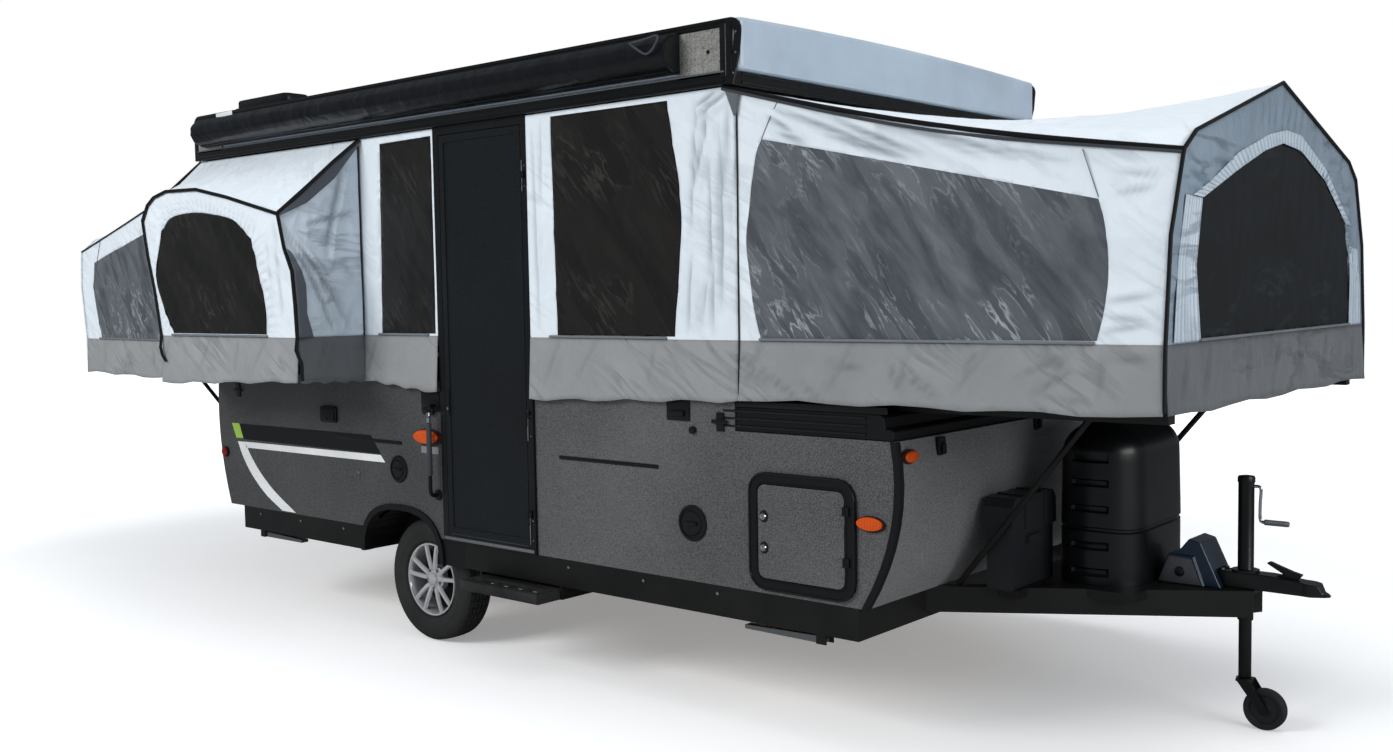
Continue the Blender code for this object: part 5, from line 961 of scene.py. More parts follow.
# Side bunk tent. Its white roof comes down from the roof rail to a bow; the outer face hangs
# from the bow with a rounded window, and creased silvered cloth closes both sides to the wall.
SIDE_OUT = -span("side_bunk_tent")[0].y - 0.004
WALL_Y = -(WALL_HALF - 0.002)
SIDE_FORE, SIDE_REAR = -0.319, -1.664
side_bow = [(-1.620, 1.913), (-1.565, 1.985), (-1.500, 2.020), (-1.386, 2.042), (-1.110, 2.035), (-0.853, 1.986),
            (-0.440, 1.890)]
fore_line = [(-0.322, SKIRT_TOP), (-0.330, 1.500), (-0.345, 1.640), (-0.398, 1.740), (-0.440, 1.890)]
rear_line = [(-1.480, SKIRT_TOP), (-1.500, 1.450), (-1.530, 1.580), (-1.582, 1.745), (-1.620, 1.913)]
outer_window = ([(-1.369, 1.366), (-0.559, 1.366)],
                [(-0.559, 1.366), (-0.556, 1.480), (-0.600, 1.640), (-0.660, 1.790)],
                [(-1.440, 1.860), (-1.358, 1.915), (-1.180, 1.930), (-1.009, 1.918), (-0.800, 1.880), (-0.660, 1.790)],
                [(-1.369, 1.366), (-1.470, 1.520), (-1.515, 1.646), (-1.440, 1.860)])
tent_sheet("side_bunk_face", ([rear_line[0], fore_line[0]], fore_line, side_bow, rear_line),
           lambda u, z: at(u, -SIDE_OUT, z), (0, -1, 0), white_cloth, brown_screen, ["side_bunk_deck"],
           ("side_bunk_tent",),
           window=outer_window, gather=0.006, crinkle=0.006, pane_crinkle=0.002, seed=41.0, step=0.016,
           folds=[(((-0.46, 1.85), (-0.40, 1.45)), 0.014, 0.008), (((-0.52, 1.80), (-0.47, 1.42)), 0.012, 0.006)])
bow_line = along([(x, -SIDE_OUT, z) for x, z in side_bow], 48)
rail_line = along([(SIDE_REAR, WALL_Y, ROOF_UNDER), (SIDE_FORE, WALL_Y, ROOF_UNDER)], 48)


def side_roof_place(u, s):
    step_at = min(max(u / 1.25, 0.0), 1.0) * 48
    k = min(int(step_at), 47)
    low_point = bow_line[k].lerp(bow_line[k + 1], step_at - k)
    high_point = rail_line[k].lerp(rail_line[k + 1], step_at - k)
    return at(*low_point.lerp(high_point, s / 0.42)) + Vector((0, 0,
            -0.02 * math.sin(math.pi * s / 0.42) * math.sin(math.pi * u / 1.25)))


tent_sheet("side_bunk_roof", ([(0, 0), (1.25, 0)], [(1.25, 0), (1.25, 0.42)], [(0, 0.42), (1.25, 0.42)],
                              [(0, 0), (0, 0.42)]),
           side_roof_place, (0, -0.5, 0.85), white_cloth, None, ["roof_rail", "side_bunk_face"], crinkle=0.003,
           seed=47.0)
side_depth = SIDE_OUT + WALL_Y
for label, line, wall_x in (("fore", fore_line, SIDE_FORE), ("rear", rear_line, SIDE_REAR)):
    bow_at = [(z, x) for x, z in line]

    def closing_place(s, z, bow_at=bow_at, wall_x=wall_x):
        share = min(max(s / side_depth, 0.0), 1.0)
        return at(between(z, bow_at) * (1 - share) + wall_x * share, -SIDE_OUT + s, z)

    tall = line[-1][1]
    # The closing cloths use the lighter silvered copy: painted light, raised for the fore cloth that faces away from
    # the key lamp.
    tent_sheet("side_bunk_%s_cloth" % label,
               ([(0, SKIRT_TOP), (side_depth, SKIRT_TOP)], [(side_depth, SKIRT_TOP), (side_depth, ROOF_UNDER)],
                [(0, tall), (side_depth * 0.5, (tall + ROOF_UNDER) / 2 + 0.012), (side_depth, ROOF_UNDER)],
                [(0, SKIRT_TOP), (0, tall)]),
               closing_place, (1 if label == "fore" else -1, 0, 0), pale_silver, None, ["side_bunk_face"],
               crinkle=0.010,
               step=0.010, seed=53.0,
               folds=[(((0.03, 1.80), (0.20, 1.38)), 0.012, 0.016), (((0.02, 1.85), (0.28, 1.40)), 0.012, 0.014),
                      (((0.30, 2.15), (0.20, 1.70)), 0.016, 0.014), (((0.10, 1.86), (0.31, 1.92)), 0.012, 0.012)])
# A dark grey strip and welt along the side bunk's fore edge: painted shade where the outer face turns into the fore
# closing cloth.
shade_strip_cloth = coated_cloth("painted_shade_edge_cloth", "#5A6069", "#4C525B", 0.6, 0.4, 0.15, "#33383F", 0.3)
tent_sheet("side_bunk_fore_edge", ([(0.0, SKIRT_TOP), (0.070, SKIRT_TOP)],
        [(0.070, SKIRT_TOP), (0.045, 1.46), (0.052, 1.58), (0.020, 1.72)],
                                   [(0.0, 1.74), (0.020, 1.72)], [(0.0, SKIRT_TOP), (0.0, 1.74)]),
           lambda s, z: at(between(z, [(q, p) for p, q in fore_line]) + 0.016, -SIDE_OUT + s, z), (1, 0, 0), shade_strip_cloth,
           None,
           ["side_bunk_fore_cloth"], crinkle=0.001, step=0.012)
tent_sheet("side_bunk_fore_welt", ([(0.0, 0.0), (0.47, 0.0)], [(0.47, 0.0), (0.47, 0.012)],
                                   [(0.0, 0.008), (0.14, 0.050), (0.30, 0.055), (0.47, 0.012)],
        [(0.0, 0.0), (0.0, 0.008)]),
           lambda s, d: at(-0.440 + 0.121 * s / 0.47 + 0.016, -SIDE_OUT + side_depth * s / 0.47 + d * 0.2,
                           1.890 + (ROOF_UNDER - 1.890) * s / 0.47 - d), (1, 0, 0), shade_strip_cloth, None,
           ["side_bunk_fore_cloth"], crinkle=0.001, step=0.012)


# Skirts: a band of grey cloth sewn under the white all round, hanging over the edge of the box
# and the decks, with slanting creases and a slightly wavy hem.
def skirt(name, start, end, low_start, low_end, outward, rests_on, seed, waves=0.006, folds=(), cloth=grey_cloth):
    start, end = Vector(start), Vector(end)
    reach = (end - start).length
    hem = [(reach * k / 12,
            low_start + (low_end - low_start) * k / 12 + waves * math.sin(k * 1.9 + seed)) for k in range(13)]

    def place(u, z):
        spot = start.lerp(end, u / reach)
        return at(spot.x, spot.y,
                  z - droop(spot.x)) + Vector(outward) * 0.012 * (1 - (z - SKIRT_LOW) / (SKIRT_TOP - SKIRT_LOW))

    creases = list(folds)
    for k in range(int(reach / 0.28)):
        u = (k + 0.5) * 0.28 + 0.05 * math.sin(seed * 3 + k * 2.1)
        creases.append((((u, 1.34), (u - 0.07 - 0.05 * math.sin(k * 2.7), 1.19)), 0.013, 0.0065))
    return tent_sheet(name, (hem, [(reach, low_end), (reach, SKIRT_TOP)], [(0, SKIRT_TOP), (reach, SKIRT_TOP)],
                             [(0, low_start), (0, SKIRT_TOP)]), place, outward, cloth, None, rests_on, held="hung",
                      folds=creases, crinkle=0.004, seed=seed)


END_HALF = 0.992
front_creases = [(line, 0.012, 0.009) for line in (
    ((0.016, 1.321), (0.101, 1.224)), ((0.102, 1.268), (0.268, 1.165)), ((0.268, 1.229), (0.355, 1.160)),
    ((0.594, 1.309), (0.650, 1.199)), ((0.640, 1.279), (0.772, 1.193)), ((1.125, 1.340), (1.193, 1.291)),
    ((1.202, 1.310), (1.025, 1.240)), ((1.306, 1.340), (1.424, 1.325)), ((1.202, 1.263), (1.085, 1.194)),
    ((0.357, 1.305), (0.501, 1.276)), ((0.902, 1.323), (0.870, 1.255)))]
for label, root, end in (("front", FRONT_ROOT, FRONT_END), ("rear", REAR_ROOT, REAR_END)):
    way = 1 if end > root else -1
    for hand, side in HANDS:
        start = (CORNER, side * (WALL_HALF - 0.0025)) if way > 0 else (root, side * WALL_HALF)
        skirt("%s_skirt_%s" % (label, hand), start, (end, side * END_HALF), 1.146, 1.156, (0, side, 0),
              ["%s_bunk_side_%s" % (label, hand)], 5.0 * way + side, folds=front_creases if way > 0 else ())
    # The end skirts use the darker grey copy: painted shade on the bunks' end faces.
    skirt("%s_skirt_end" % label, (end, -END_HALF), (end, END_HALF), 1.156, 1.140, (way, 0, 0), ["%s_bunk_end" % label],
          7.0 * way,
          cloth=shaded_cloth)
skirt("curb_skirt_front", (wall_front[0].x, -WALL_HALF), (CORNER, -WALL_HALF + 0.0025), 1.112, 1.146, (0, -1, 0),
      ["curb_wall_front"], 9.0)
skirt("curb_skirt_rear", (SIDE_FORE, -WALL_HALF), (wall_rear[1].x, -WALL_HALF), 1.150, 1.118, (0, -1, 0),
      ["curb_wall_rear"], 4.0)
skirt("street_skirt_rear", (REAR_ROOT, WALL_HALF), (street_seam, WALL_HALF), 1.140, 1.120, (0, 1, 0),
      ["street_wall_rear"], 2.0)
skirt("street_skirt_front", (street_seam, WALL_HALF), (CORNER, WALL_HALF - 0.0025), 1.120, 1.140, (0, 1, 0),
      ["street_wall_front"], 6.0)
skirt("side_bunk_skirt", (-1.478, -SIDE_OUT), (-0.318, -SIDE_OUT), 1.130, 1.160, (0, -1, 0), ["side_bunk_face"], 8.0)
# The side bunk's fore skirt uses the darker grey copy: painted shade on the face turned forward.
skirt("side_bunk_skirt_fore", (-0.318, -SIDE_OUT), (SIDE_FORE, WALL_Y), 1.160, 1.150, (1, 0, 0),
      ["side_bunk_fore_cloth"], 3.0,
      cloth=shaded_cloth)
skirt("side_bunk_skirt_rear", (-1.478, -SIDE_OUT), (SIDE_REAR, WALL_Y), 1.130, 1.135, (-1, 0, 0),
      ["side_bunk_rear_cloth"], 1.0)

# Piping and seams of the tents: black cord sewn along every bow and corner, a rain flap along
# the front eaves and a grey zip under each window.
zip_tape = moulded("grey_zip_tape", "#6E7478")
flap_cloth = moulded("charcoal_flap", "#3A3D41", 0.6, 1.5)
for label, root, end in (("front", FRONT_ROOT, FRONT_END), ("rear", REAR_ROOT, REAR_END)):
    way = 1 if end > root else -1
    reach = abs(end - root)
    bow = BOWS[label]
    rising = [(half + 0.003, z) for z, half in bow["side"][1:]] + [(y, z + 0.003) for y, z in bow["crown"][1::-1]]
    arch_line = [(-END_HALF - 0.006, 1.165)] + [(-y, z) for y, z in rising] + rising[-2::-1] + [(END_HALF + 0.006,
            1.150)]
    piping("%s_end_piping" % label, [(end + way * (0.003 + between(z, bow["lean"])), y, z - droop(end)) for y,
            z in arch_line],
           0.0065 if way > 0 else 0.004, material=black_cord if way > 0 else white_cloth)
    for hand, side in HANDS:
        eave = []
        for k in range(13):
            eave.append(on_side(label, side, reach * k / 12, eave_height(label, k / 12), 0.004))
        piping("%s_eave_flap_%s" % (label, hand), eave, 0.008 if way > 0 else 0.004)
        if way > 0:
            piping("%s_eave_edge_%s" % (label, hand),
                   [(x, y + side * 0.004, z - 0.008 - 0.010 * math.sin(math.pi * i / 12) ** 2)
                                                       for i, (x, y, z) in enumerate(eave)], 0.0055,
                   material=flap_cloth)
        piping("%s_zip_%s" % (label, hand),
               [on_side(label, side, u, SKIRT_TOP + 0.004, 0.005) for u in (0.14, 0.5, 0.9, 1.31)],
               0.005, material=zip_tape)
        for part, seam in (("fore", [(0.217, 2.164), (0.180, 2.100), (0.148, 2.034)]),
                           ("end", [(1.227, 1.923), (1.291, 1.778)])):
            piping("%s_%s_seam_%s" % (label, part, hand), [on_side(label, side, u, z, 0.002) for u, z in seam], 0.0016,
                   material=zip_tape)
        corner = [on_side(label, side, SEAM if way > 0 else 0.0, z, 0.003) for z in (2.16, 1.95, 1.75, 1.55, SKIRT_TOP)]
        x, y, z = corner[-1]
        corner.append((x, y + side * 0.006, 1.165 - droop(x)))
        piping("%s_corner_seam_%s" % (label, hand), corner, 0.0026 if way > 0 else 0.0015,
               material=black_cord if way > 0 else zip_tape)
out_y = -SIDE_OUT - 0.005
piping("side_bunk_bow_piping", [(x, out_y, z) for x, z in side_bow], 0.0085)
piping("side_bunk_fore_piping", [(x + 0.004, out_y, z) for x, z in reversed(fore_line)] +
       [(-0.314, out_y - 0.010, 1.300), (-0.270, out_y - 0.014, 1.245), (-0.268, out_y - 0.014, 1.170)], 0.008)
piping("side_bunk_rear_piping", [(x - 0.002, out_y, z) for x, z in reversed(rear_line)] +
       [(-1.474, out_y - 0.012, 1.300), (-1.455, out_y - 0.014, 1.262), (-1.420, out_y - 0.016, 1.232)], 0.007)
piping("side_bunk_ridge_piping", [(-0.440, out_y, 1.890), (-0.373, -1.297, 2.010), (-0.332, -1.184, 2.122),
        (-0.310, -1.070, 2.218)], 0.009)
piping("side_bunk_rear_ridge", [(-1.620, out_y, 1.913), (-1.640, -1.240, 2.066), (SIDE_REAR, -1.070, 2.218)], 0.006)
piping("side_bunk_wall_seam", [(SIDE_FORE, -WALL_HALF - 0.004, z) for z in (2.20, 1.80, SKIRT_TOP)], 0.004)
piping("side_bunk_zip", [(-1.38, out_y, SKIRT_TOP + 0.005), (-0.90, out_y, SKIRT_TOP + 0.005),
                         (-0.55, out_y, SKIRT_TOP + 0.005)], 0.005, material=zip_tape)
piping("curb_zip_front", [(0.89, -WALL_HALF - 0.003, SKIRT_TOP + 0.005), (1.50, -WALL_HALF - 0.003, SKIRT_TOP + 0.005)],
       0.005, material=zip_tape)
piping("curb_zip_rear", [(-0.21, -WALL_HALF - 0.003, SKIRT_TOP + 0.005), (0.14, -WALL_HALF - 0.003, SKIRT_TOP + 0.005)],
       0.005, material=zip_tape)
for label, way, end in (("front", 1, FRONT_END), ("rear", -1, REAR_END)):
    piping("%s_end_zip" % label, [(end + way * 0.005, y, SKIRT_TOP + 0.005 - droop(end)) for y in (-0.735, 0.0, 0.795)],
           0.005,
           material=zip_tape)


# Roof. A painted shell with a black extruded rail round its foot and its sides; speckled filler
# panels close the rail's side at both ends, and raised lines run along the extrusion.
def finished(made, material, body, edge, *replaced):
    """Rounds a piece's edges, smooths it and sets it on its body."""
    if edge:
        rounded = made.modifiers.new("edge", "BEVEL")
        rounded.width, rounded.segments, rounded.limit_method = edge, 2, "ANGLE"
        bpy.ops.object.modifier_apply(modifier=rounded.name)
    smooth(made, 40)
    return fit(made, material, body, *replaced)


def slab(name, x, y, z, material, body="trailer", edge=0.0015):
    """A block between two places along each axis."""
    deselect()
    low, high = at(x[0], y[0], z[0]), at(x[1], y[1], z[1])
    bpy.ops.mesh.primitive_cube_add(size=1.0, location=(low + high) / 2, scale=high - low)
    made = bpy.context.object
    made.name = name
    bpy.ops.object.transform_apply(location=True, rotation=True, scale=True)
    return finished(made, material, body, edge)


def plate(name, outline, axis, low, high, material, body="trailer", edge=0.0, *replaced):
    """An outline in the two other axes, extruded along one axis."""
    deselect()
    others = [k for k in range(3) if k != axis]
    spots = []
    for point in outline:
        spot = [low, low, low]
        spot[others[0]], spot[others[1]] = point
        spots.append(at(*spot))
    mesh = bpy.data.meshes.new(name)
    made = bpy.data.objects.new(name, mesh)
    bpy.context.scene.collection.objects.link(made)
    mesh.from_pydata(spots, [], [list(range(len(spots)))])
    made.select_set(True)
    bpy.context.view_layer.objects.active = made
    way = [0.0, 0.0, 0.0]
    way[axis] = high - low
    bpy.ops.object.mode_set(mode="EDIT")
    bpy.ops.mesh.select_all(action="SELECT")
    bpy.ops.mesh.extrude_region_move(TRANSFORM_OT_translate={"value": way})
    bpy.ops.mesh.select_all(action="SELECT")
    bpy.ops.mesh.normals_make_consistent(inside=False)
    bpy.ops.object.mode_set(mode="OBJECT")
    return finished(made, material, body, edge, *replaced)


def post(name, start, end, radius, material, body="trailer", sides=32, edge=0.0, tip=None, *replaced):
    """A round bar or cone between two places."""
    deselect()
    a, b = at(*start), at(*end)
    bpy.ops.mesh.primitive_cone_add(vertices=sides, radius1=radius, radius2=radius if tip is None else tip,
                                    depth=(b - a).length, location=(a + b) / 2,
                                    rotation=(b - a).to_track_quat("Z", "Y").to_euler())
    made = bpy.context.object
    made.name = name
    bpy.ops.object.transform_apply(location=True, rotation=True, scale=True)
    return finished(made, material, body, edge, *replaced)


def rounded_box(x, z, radius, steps=5):
    """Outline of a rectangle with round corners."""
    points = []
    for cx, cz, first in ((x[1] - radius, z[1] - radius, 0), (x[0] + radius, z[1] - radius, 90),
                          (x[0] + radius, z[0] + radius, 180), (x[1] - radius, z[0] + radius, 270)):
        for i in range(steps + 1):
            angle = math.radians(first + 90 * i / steps)
            points.append((cx + radius * math.cos(angle), cz + radius * math.sin(angle)))
    return points


SIDE = -1.0505
satin_black = metal_coat("satin_black_extrusion", "#090A0A", "#121313", 0.30, 60.0)
roof_skin = moulded("painted_roof_skin", "#B4C2CF", 0.34, 4.0, 0.0003, 0.2)
brushed = bare_metal("brushed_aluminium", "#C6C9CB", 0.24)
dress(roof_skin, "roof_shell")
dress(satin_black, "roof_rail")


def speckled(name, base, fleck):
    """Filler sheet with a printed fleck: grey with dark and light grains about a millimetre across."""
    made, tree, shader = new_material(name)
    shader.inputs["Roughness"].default_value = 0.5
    place = node(tree, "TexCoord").outputs["Object"]
    grain = node(tree, "TexNoise", {"Vector": place, "Scale": 230.0, "Detail": 2.0, "Roughness": 0.8})
    cloud = node(tree, "TexNoise", {"Vector": place, "Scale": 12.0, "Detail": 3.0})
    mixed = node(tree, "Math", {0: cloud.outputs["Fac"], 1: 0.25, 2: grain.outputs["Fac"]}, operation="MULTIPLY_ADD")
    shade = node(tree, "ValToRGB", {"Fac": mixed.outputs[0]})
    shade.color_ramp.elements[0].position, shade.color_ramp.elements[1].position = 0.48, 0.76
    shade.color_ramp.elements[0].color, shade.color_ramp.elements[1].color = linear(fleck), linear(base)
    bump = node(tree, "Bump", {"Height": grain.outputs["Fac"], "Strength": 0.3, "Distance": 0.0006})
    linked(tree, shader, shade, bump=bump)
    return made


filler = speckled("speckled_filler_sheet", "#989792", "#565553")
ROOF_LOW = span("roof_rail")[0]
rail_x = (ROOF_LOW.x + 0.03, 1.800)
for label, side in HANDS:
    face = sorted((side * 1.0730, side * 1.0800))
    slab("roof_corner_trim_" + label, (1.782, 1.834), sorted((side * 1.0730, side * 1.0830)), (2.250, 2.436),
         satin_black, edge=0.003)
    slab("roof_corner_line_" + label, (1.8075, 1.8105), sorted((side * 1.0828, side * 1.0838)), (2.256, 2.430), brushed,
         edge=0.0004)
    for end, x in (("rear", (-1.655, -1.440)), ("fore", (1.590, 1.784))):
        slab("roof_filler_%s_%s" % (end, label), x, face, (2.257, 2.421), filler, edge=0.001)
        screw_x = x[0] + 0.14 if end == "fore" else x[0] + 0.05
        post("roof_filler_screw_%s_%s" % (end, label), (screw_x, side * 1.0795, 2.345), (screw_x, side * 1.0830, 2.345),
             0.007,
             satin_black, sides=20, edge=0.0008)
    for k, (z, tall) in enumerate(((2.2300, 0.005), (2.2425, 0.010), (2.2600, 0.006), (2.2720, 0.006), (2.4280, 0.005),
                                   (2.4400, 0.007))):
        slab("roof_rail_line_%s_%d" % (label, k), rail_x, sorted((side * 1.0798, side * 1.0835)),
             (z - tall / 2, z + tall / 2),
             satin_black if k != 3 else brushed, edge=0.0012)
slab("roof_front_line", (1.8350, 1.8395), (-1.03, 1.03), (2.2330, 2.2400), satin_black, edge=0.001)
slab("roof_front_bead", (1.8350, 1.8400), (-1.03, 1.03), (2.2640, 2.2700), satin_black, edge=0.001)
for label, side in HANDS:
    for k, z in enumerate((2.262, 2.330, 2.398)):
        x = 1.846 + 0.022 * math.sin((z - 2.227) / 0.223 * 2.4)
        post("corner_screw_%s_%d" % (label, k), (x - 0.014, side * 1.0800, z), (x - 0.014, side * 1.0825, z), 0.0042,
             brushed,
             sides=16, edge=0.0005)

# Roof vent and roof caps: black moulded lids with round corners, low on the painted roof.
lid_plastic = moulded("black_lid_plastic", "#0E1012", 0.36, 3.0, 0.0003)
dress(lid_plastic, "roof_vent")
plate("roof_cap", rounded_box((-1.35, -0.92), (-1.045, -0.900), 0.035), 2, 2.4515, 2.500, lid_plastic, "trailer", 0.012)
plate("roof_cap_foot", rounded_box((-1.365, -0.905), (-1.055, -0.885), 0.040), 2, 2.4500, 2.4600, satin_black,
      "trailer", 0.003)

# Awning in its bag: coated cloth, navy black, pulled tight over the rolled canvas and its arms,
# so it shows soft lengthwise ridges. It hangs from a bead in the rail along the curb side.
bag_cloth = coated_cloth("coated_navy_vinyl", "#0A0D14", "#06070A", 0.34, 0.3, 0.0, "#020203", 0.3)
BAG_LOW, BAG_HIGH = span("awning_bag")
bag_mid, bag_half = (BAG_LOW.z + BAG_HIGH.z) / 2, (BAG_HIGH.z - BAG_LOW.z) / 2
bag_deep = BAG_HIGH.y - BAG_LOW.y
bag_section = [(0.000, BAG_HIGH.z - 0.002), (-0.012, BAG_HIGH.z - 0.001), (-0.020, BAG_HIGH.z - 0.008),
               (-0.024, BAG_HIGH.z - 0.018)]
for k in range(13):
    angle = math.radians(115 + 140 * k / 12)
    ridge = 0.0035 * math.sin(k * 2.1)
    bag_section.append((-0.020 + (bag_deep - 0.030 + ridge) * math.cos(angle),
                        bag_mid + (bag_half * 0.90 + ridge) * math.sin(angle)))
bag_section += [(-0.030, BAG_LOW.z + 0.004), (0.000, BAG_LOW.z)]
bag_line = along([(0.0, y, z) for y, z in bag_section], 40)
bag_girth = sum((b - a).length for a, b in zip(bag_line, bag_line[1:]))


def bag_place(u, v):
    step_at = min(max(v / bag_girth, 0.0), 1.0) * 40
    k = min(int(step_at), 39)
    spot = bag_line[k].lerp(bag_line[k + 1], step_at - k)
    return at(u, BAG_HIGH.y + spot.y, spot.z)


tent_sheet("awning_bag_cloth", ([(BAG_LOW.x, 0), (BAG_HIGH.x, 0)], [(BAG_HIGH.x, 0), (BAG_HIGH.x, bag_girth)],
                                [(BAG_LOW.x, bag_girth), (BAG_HIGH.x, bag_girth)],
                                [(BAG_LOW.x, 0), (BAG_LOW.x, bag_girth)]),
           bag_place, (0, -1, 0), bag_cloth, None, ["roof_rail"], ("awning_bag",), crinkle=0.0035, step=0.016,
           seed=71.0,
           folds=[(((-1.5, 0.10), (0.2, 0.115)), 0.008, 0.003), (((-0.2, 0.19), (1.5, 0.18)), 0.010, 0.004),
                  (((-1.4, 0.24), (0.9, 0.25)), 0.009, 0.003), (((0.3, 0.12), (1.55, 0.10)), 0.008, 0.003)])
for label, x in (("rear", (BAG_LOW.x + 0.0005, BAG_LOW.x + 0.004)),
                 ("fore", (BAG_HIGH.x - 0.004, BAG_HIGH.x - 0.0005))):
    plate("awning_end_" + label, [(BAG_HIGH.y + p.y * 0.96, bag_mid + (p.z - bag_mid) * 0.96) for p in bag_line], 0, *x,
          lid_plastic)
piping("awning_welt_top",
       [(x, BAG_HIGH.y - 0.024, BAG_HIGH.z - 0.012) for x in (BAG_LOW.x + 0.02, 0.0, BAG_HIGH.x - 0.02)], 0.0035,
       material=satin_black)
piping("awning_welt_low",
       [(x, BAG_HIGH.y - 0.036, BAG_LOW.z + 0.008) for x in (BAG_LOW.x + 0.02, 0.0, BAG_HIGH.x - 0.02)], 0.003,
       material=satin_black)
handle_grey = moulded("charcoal_handle_plastic", "#3C4044", 0.4, 2.0)
piping("awning_handle",
       rounded_line([(1.452, BAG_LOW.y - 0.003, 2.398), (1.520, BAG_LOW.y - 0.005, 2.402),
                     (1.584, BAG_LOW.y - 0.003, 2.408),
                                      (1.570, BAG_LOW.y - 0.006, 2.372), (1.535, BAG_LOW.y - 0.007, 2.350),
        (1.490, BAG_LOW.y - 0.006, 2.372),
                                      (1.452, BAG_LOW.y - 0.003, 2.398)], 3), 0.0042, material=handle_grey)
tag_white = moulded("white_sewn_tag", "#D9DBDA", 0.55, 1.5, 0.0003)
plate("awning_blank_tag", [(-1.450, 2.420), (-1.300, 2.423), (-1.302, 2.445), (-1.448, 2.443)], 1, -1.0965, -1.0950,
      tag_white)

# Entry door: a full-height frame of dark sheet with a rounded recess, hung on three hinges, with
# a bright threshold at its foot and a pull beside its lock.
door_sheet = pebbled_sheet("embossed_black_aluminium", "#0A0D0F", "#1D2226", 5.0)
dress(door_sheet, "entry_door")
dress(satin_black, "door_frame")
slab("door_threshold", (0.205, 0.768), (-1.0665, -1.0615), (0.4885, 0.5030), brushed, edge=0.001)
slab("door_sill_tread", (0.240, 0.733), (-1.0600, -1.0400), (0.5125, 0.5150), brushed, edge=0.0008)
for k, z in enumerate((0.520, 0.940, 1.930)):
    slab("door_hinge_strip_%d" % k, (0.7450, 0.7505), (-1.0660, -1.0618), (z, z + 0.122), brushed, edge=0.001)
    for j, dz in enumerate((0.020, 0.100)):
        post("door_hinge_screw_%d_%d" % (k, j), (0.762, -1.0618, z + dz), (0.762, -1.0635, z + dz), 0.0035, brushed,
             sides=16, edge=0.0004)
plate("door_lock_plate", rounded_box((0.243, 0.262), (1.020, 1.130), 0.006), 1, -1.0660, -1.0620, satin_black,
      "entry_door", 0.001)
post("door_lock_cylinder", (0.2525, -1.0650, 1.050), (0.2525, -1.0690, 1.050), 0.007, brushed, "entry_door", 24, 0.0008)

# Grab handle: a bent steel rod on two round feet beside the door, with a soft grey sleeve where
# the hand takes it and a bright bare end above the sleeve.
hold = [(0.157, -1.0580, 1.055), (0.157, -1.0780, 1.056), (0.157, -1.0930, 1.046), (0.157, -1.0950, 1.020),
        (0.157, -1.0950, 0.865),
        (0.157, -1.0950, 0.715), (0.157, -1.0930, 0.685), (0.157, -1.0780, 0.672), (0.157, -1.0580, 0.672)]
piping("grab_rod", rounded_line(hold), 0.0085, material=satin_black)
sleeve = moulded("grey_foam_sleeve", "#3C4044", 0.6, 1.5, 0.0005)
post("grab_sleeve", (0.157, -1.0950, 0.760), (0.157, -1.0950, 0.985), 0.0115, sleeve, "trailer", 28, 0.002)
post("grab_bright_end", (0.157, -1.0950, 0.986), (0.157, -1.0950, 1.030), 0.0092, chrome, "trailer", 28, 0.001)
for k, z in enumerate((0.672, 1.055)):
    foot = post("grab_foot_%d" % k, (0.157, SIDE, z), (0.157, -1.0610, z), 0.0225, lid_plastic, "trailer", 36, 0.003)
    if k == 0:
        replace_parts(foot, "grab_handle")

# Front trunk: its hatch has a thick round-cornered ring, an embossed door and two finger
# latches; over the trunk lies a black moulded lid with a frame that carries the bunk's slides.
dress(black_moulding, "hatch_frame", "trunk_lid", "corner_trim_curb", "corner_trim_street")
dress(charcoal_sheet, "hatch_door")
ring_black = moulded("gloss_black_ring", "#0E0F10", 0.28, 3.5, 0.0002, 0.3)
for label, z in (("high", 0.753), ("low", 0.645)):
    steps = [(math.cos(math.tau * k / 40), math.sin(math.tau * k / 40)) for k in range(40)]
    plate("hatch_latch_" + label, [(1.930 + 0.017 * a, z + 0.021 * b) for a, b in steps], 1, -1.0660, -1.0618,
          ring_black, "hatch_door", 0.001)
    barrel = spun("hatch_latch_barrel_" + label, [(0.0, 0.0), (0.012, 0.0), (0.013, -0.003), (0.011, -0.007),
            (0.0, -0.008)],
                  at(1.930, -1.0655, z), 1, 40, False)
    fit(smooth(barrel, 40), chrome, "hatch_door")
    slab("hatch_latch_lever_" + label, (1.9265, 1.9335), (-1.0760, -1.0725), (z - 0.009, z + 0.009), chrome,
         "hatch_door", 0.0015)
bead = rounded_box((1.866, 2.298), (0.501, 0.900), 0.064)
piping("hatch_ring_bead", [(x, -1.0625, z) for x, z in bead + bead[:1]], 0.004, material=ring_black)
bead = rounded_box((1.896, 2.268), (0.531, 0.870), 0.036)
piping("hatch_seal", [(x, -1.0618, z) for x, z in bead + bead[:1]], 0.003, material=black_cord)
slab("trunk_slide_frame", (1.800, 2.420), (-1.0490, -1.0400), (1.1225, 1.1450), satin_black, edge=0.002)
for k, z in enumerate((1.055, 1.082, 1.108)):
    slab("trunk_lid_bead_%d" % k, (1.745, 2.340), (-1.0525, -1.0455), (z - 0.0045, z + 0.0045), ring_black, edge=0.003)

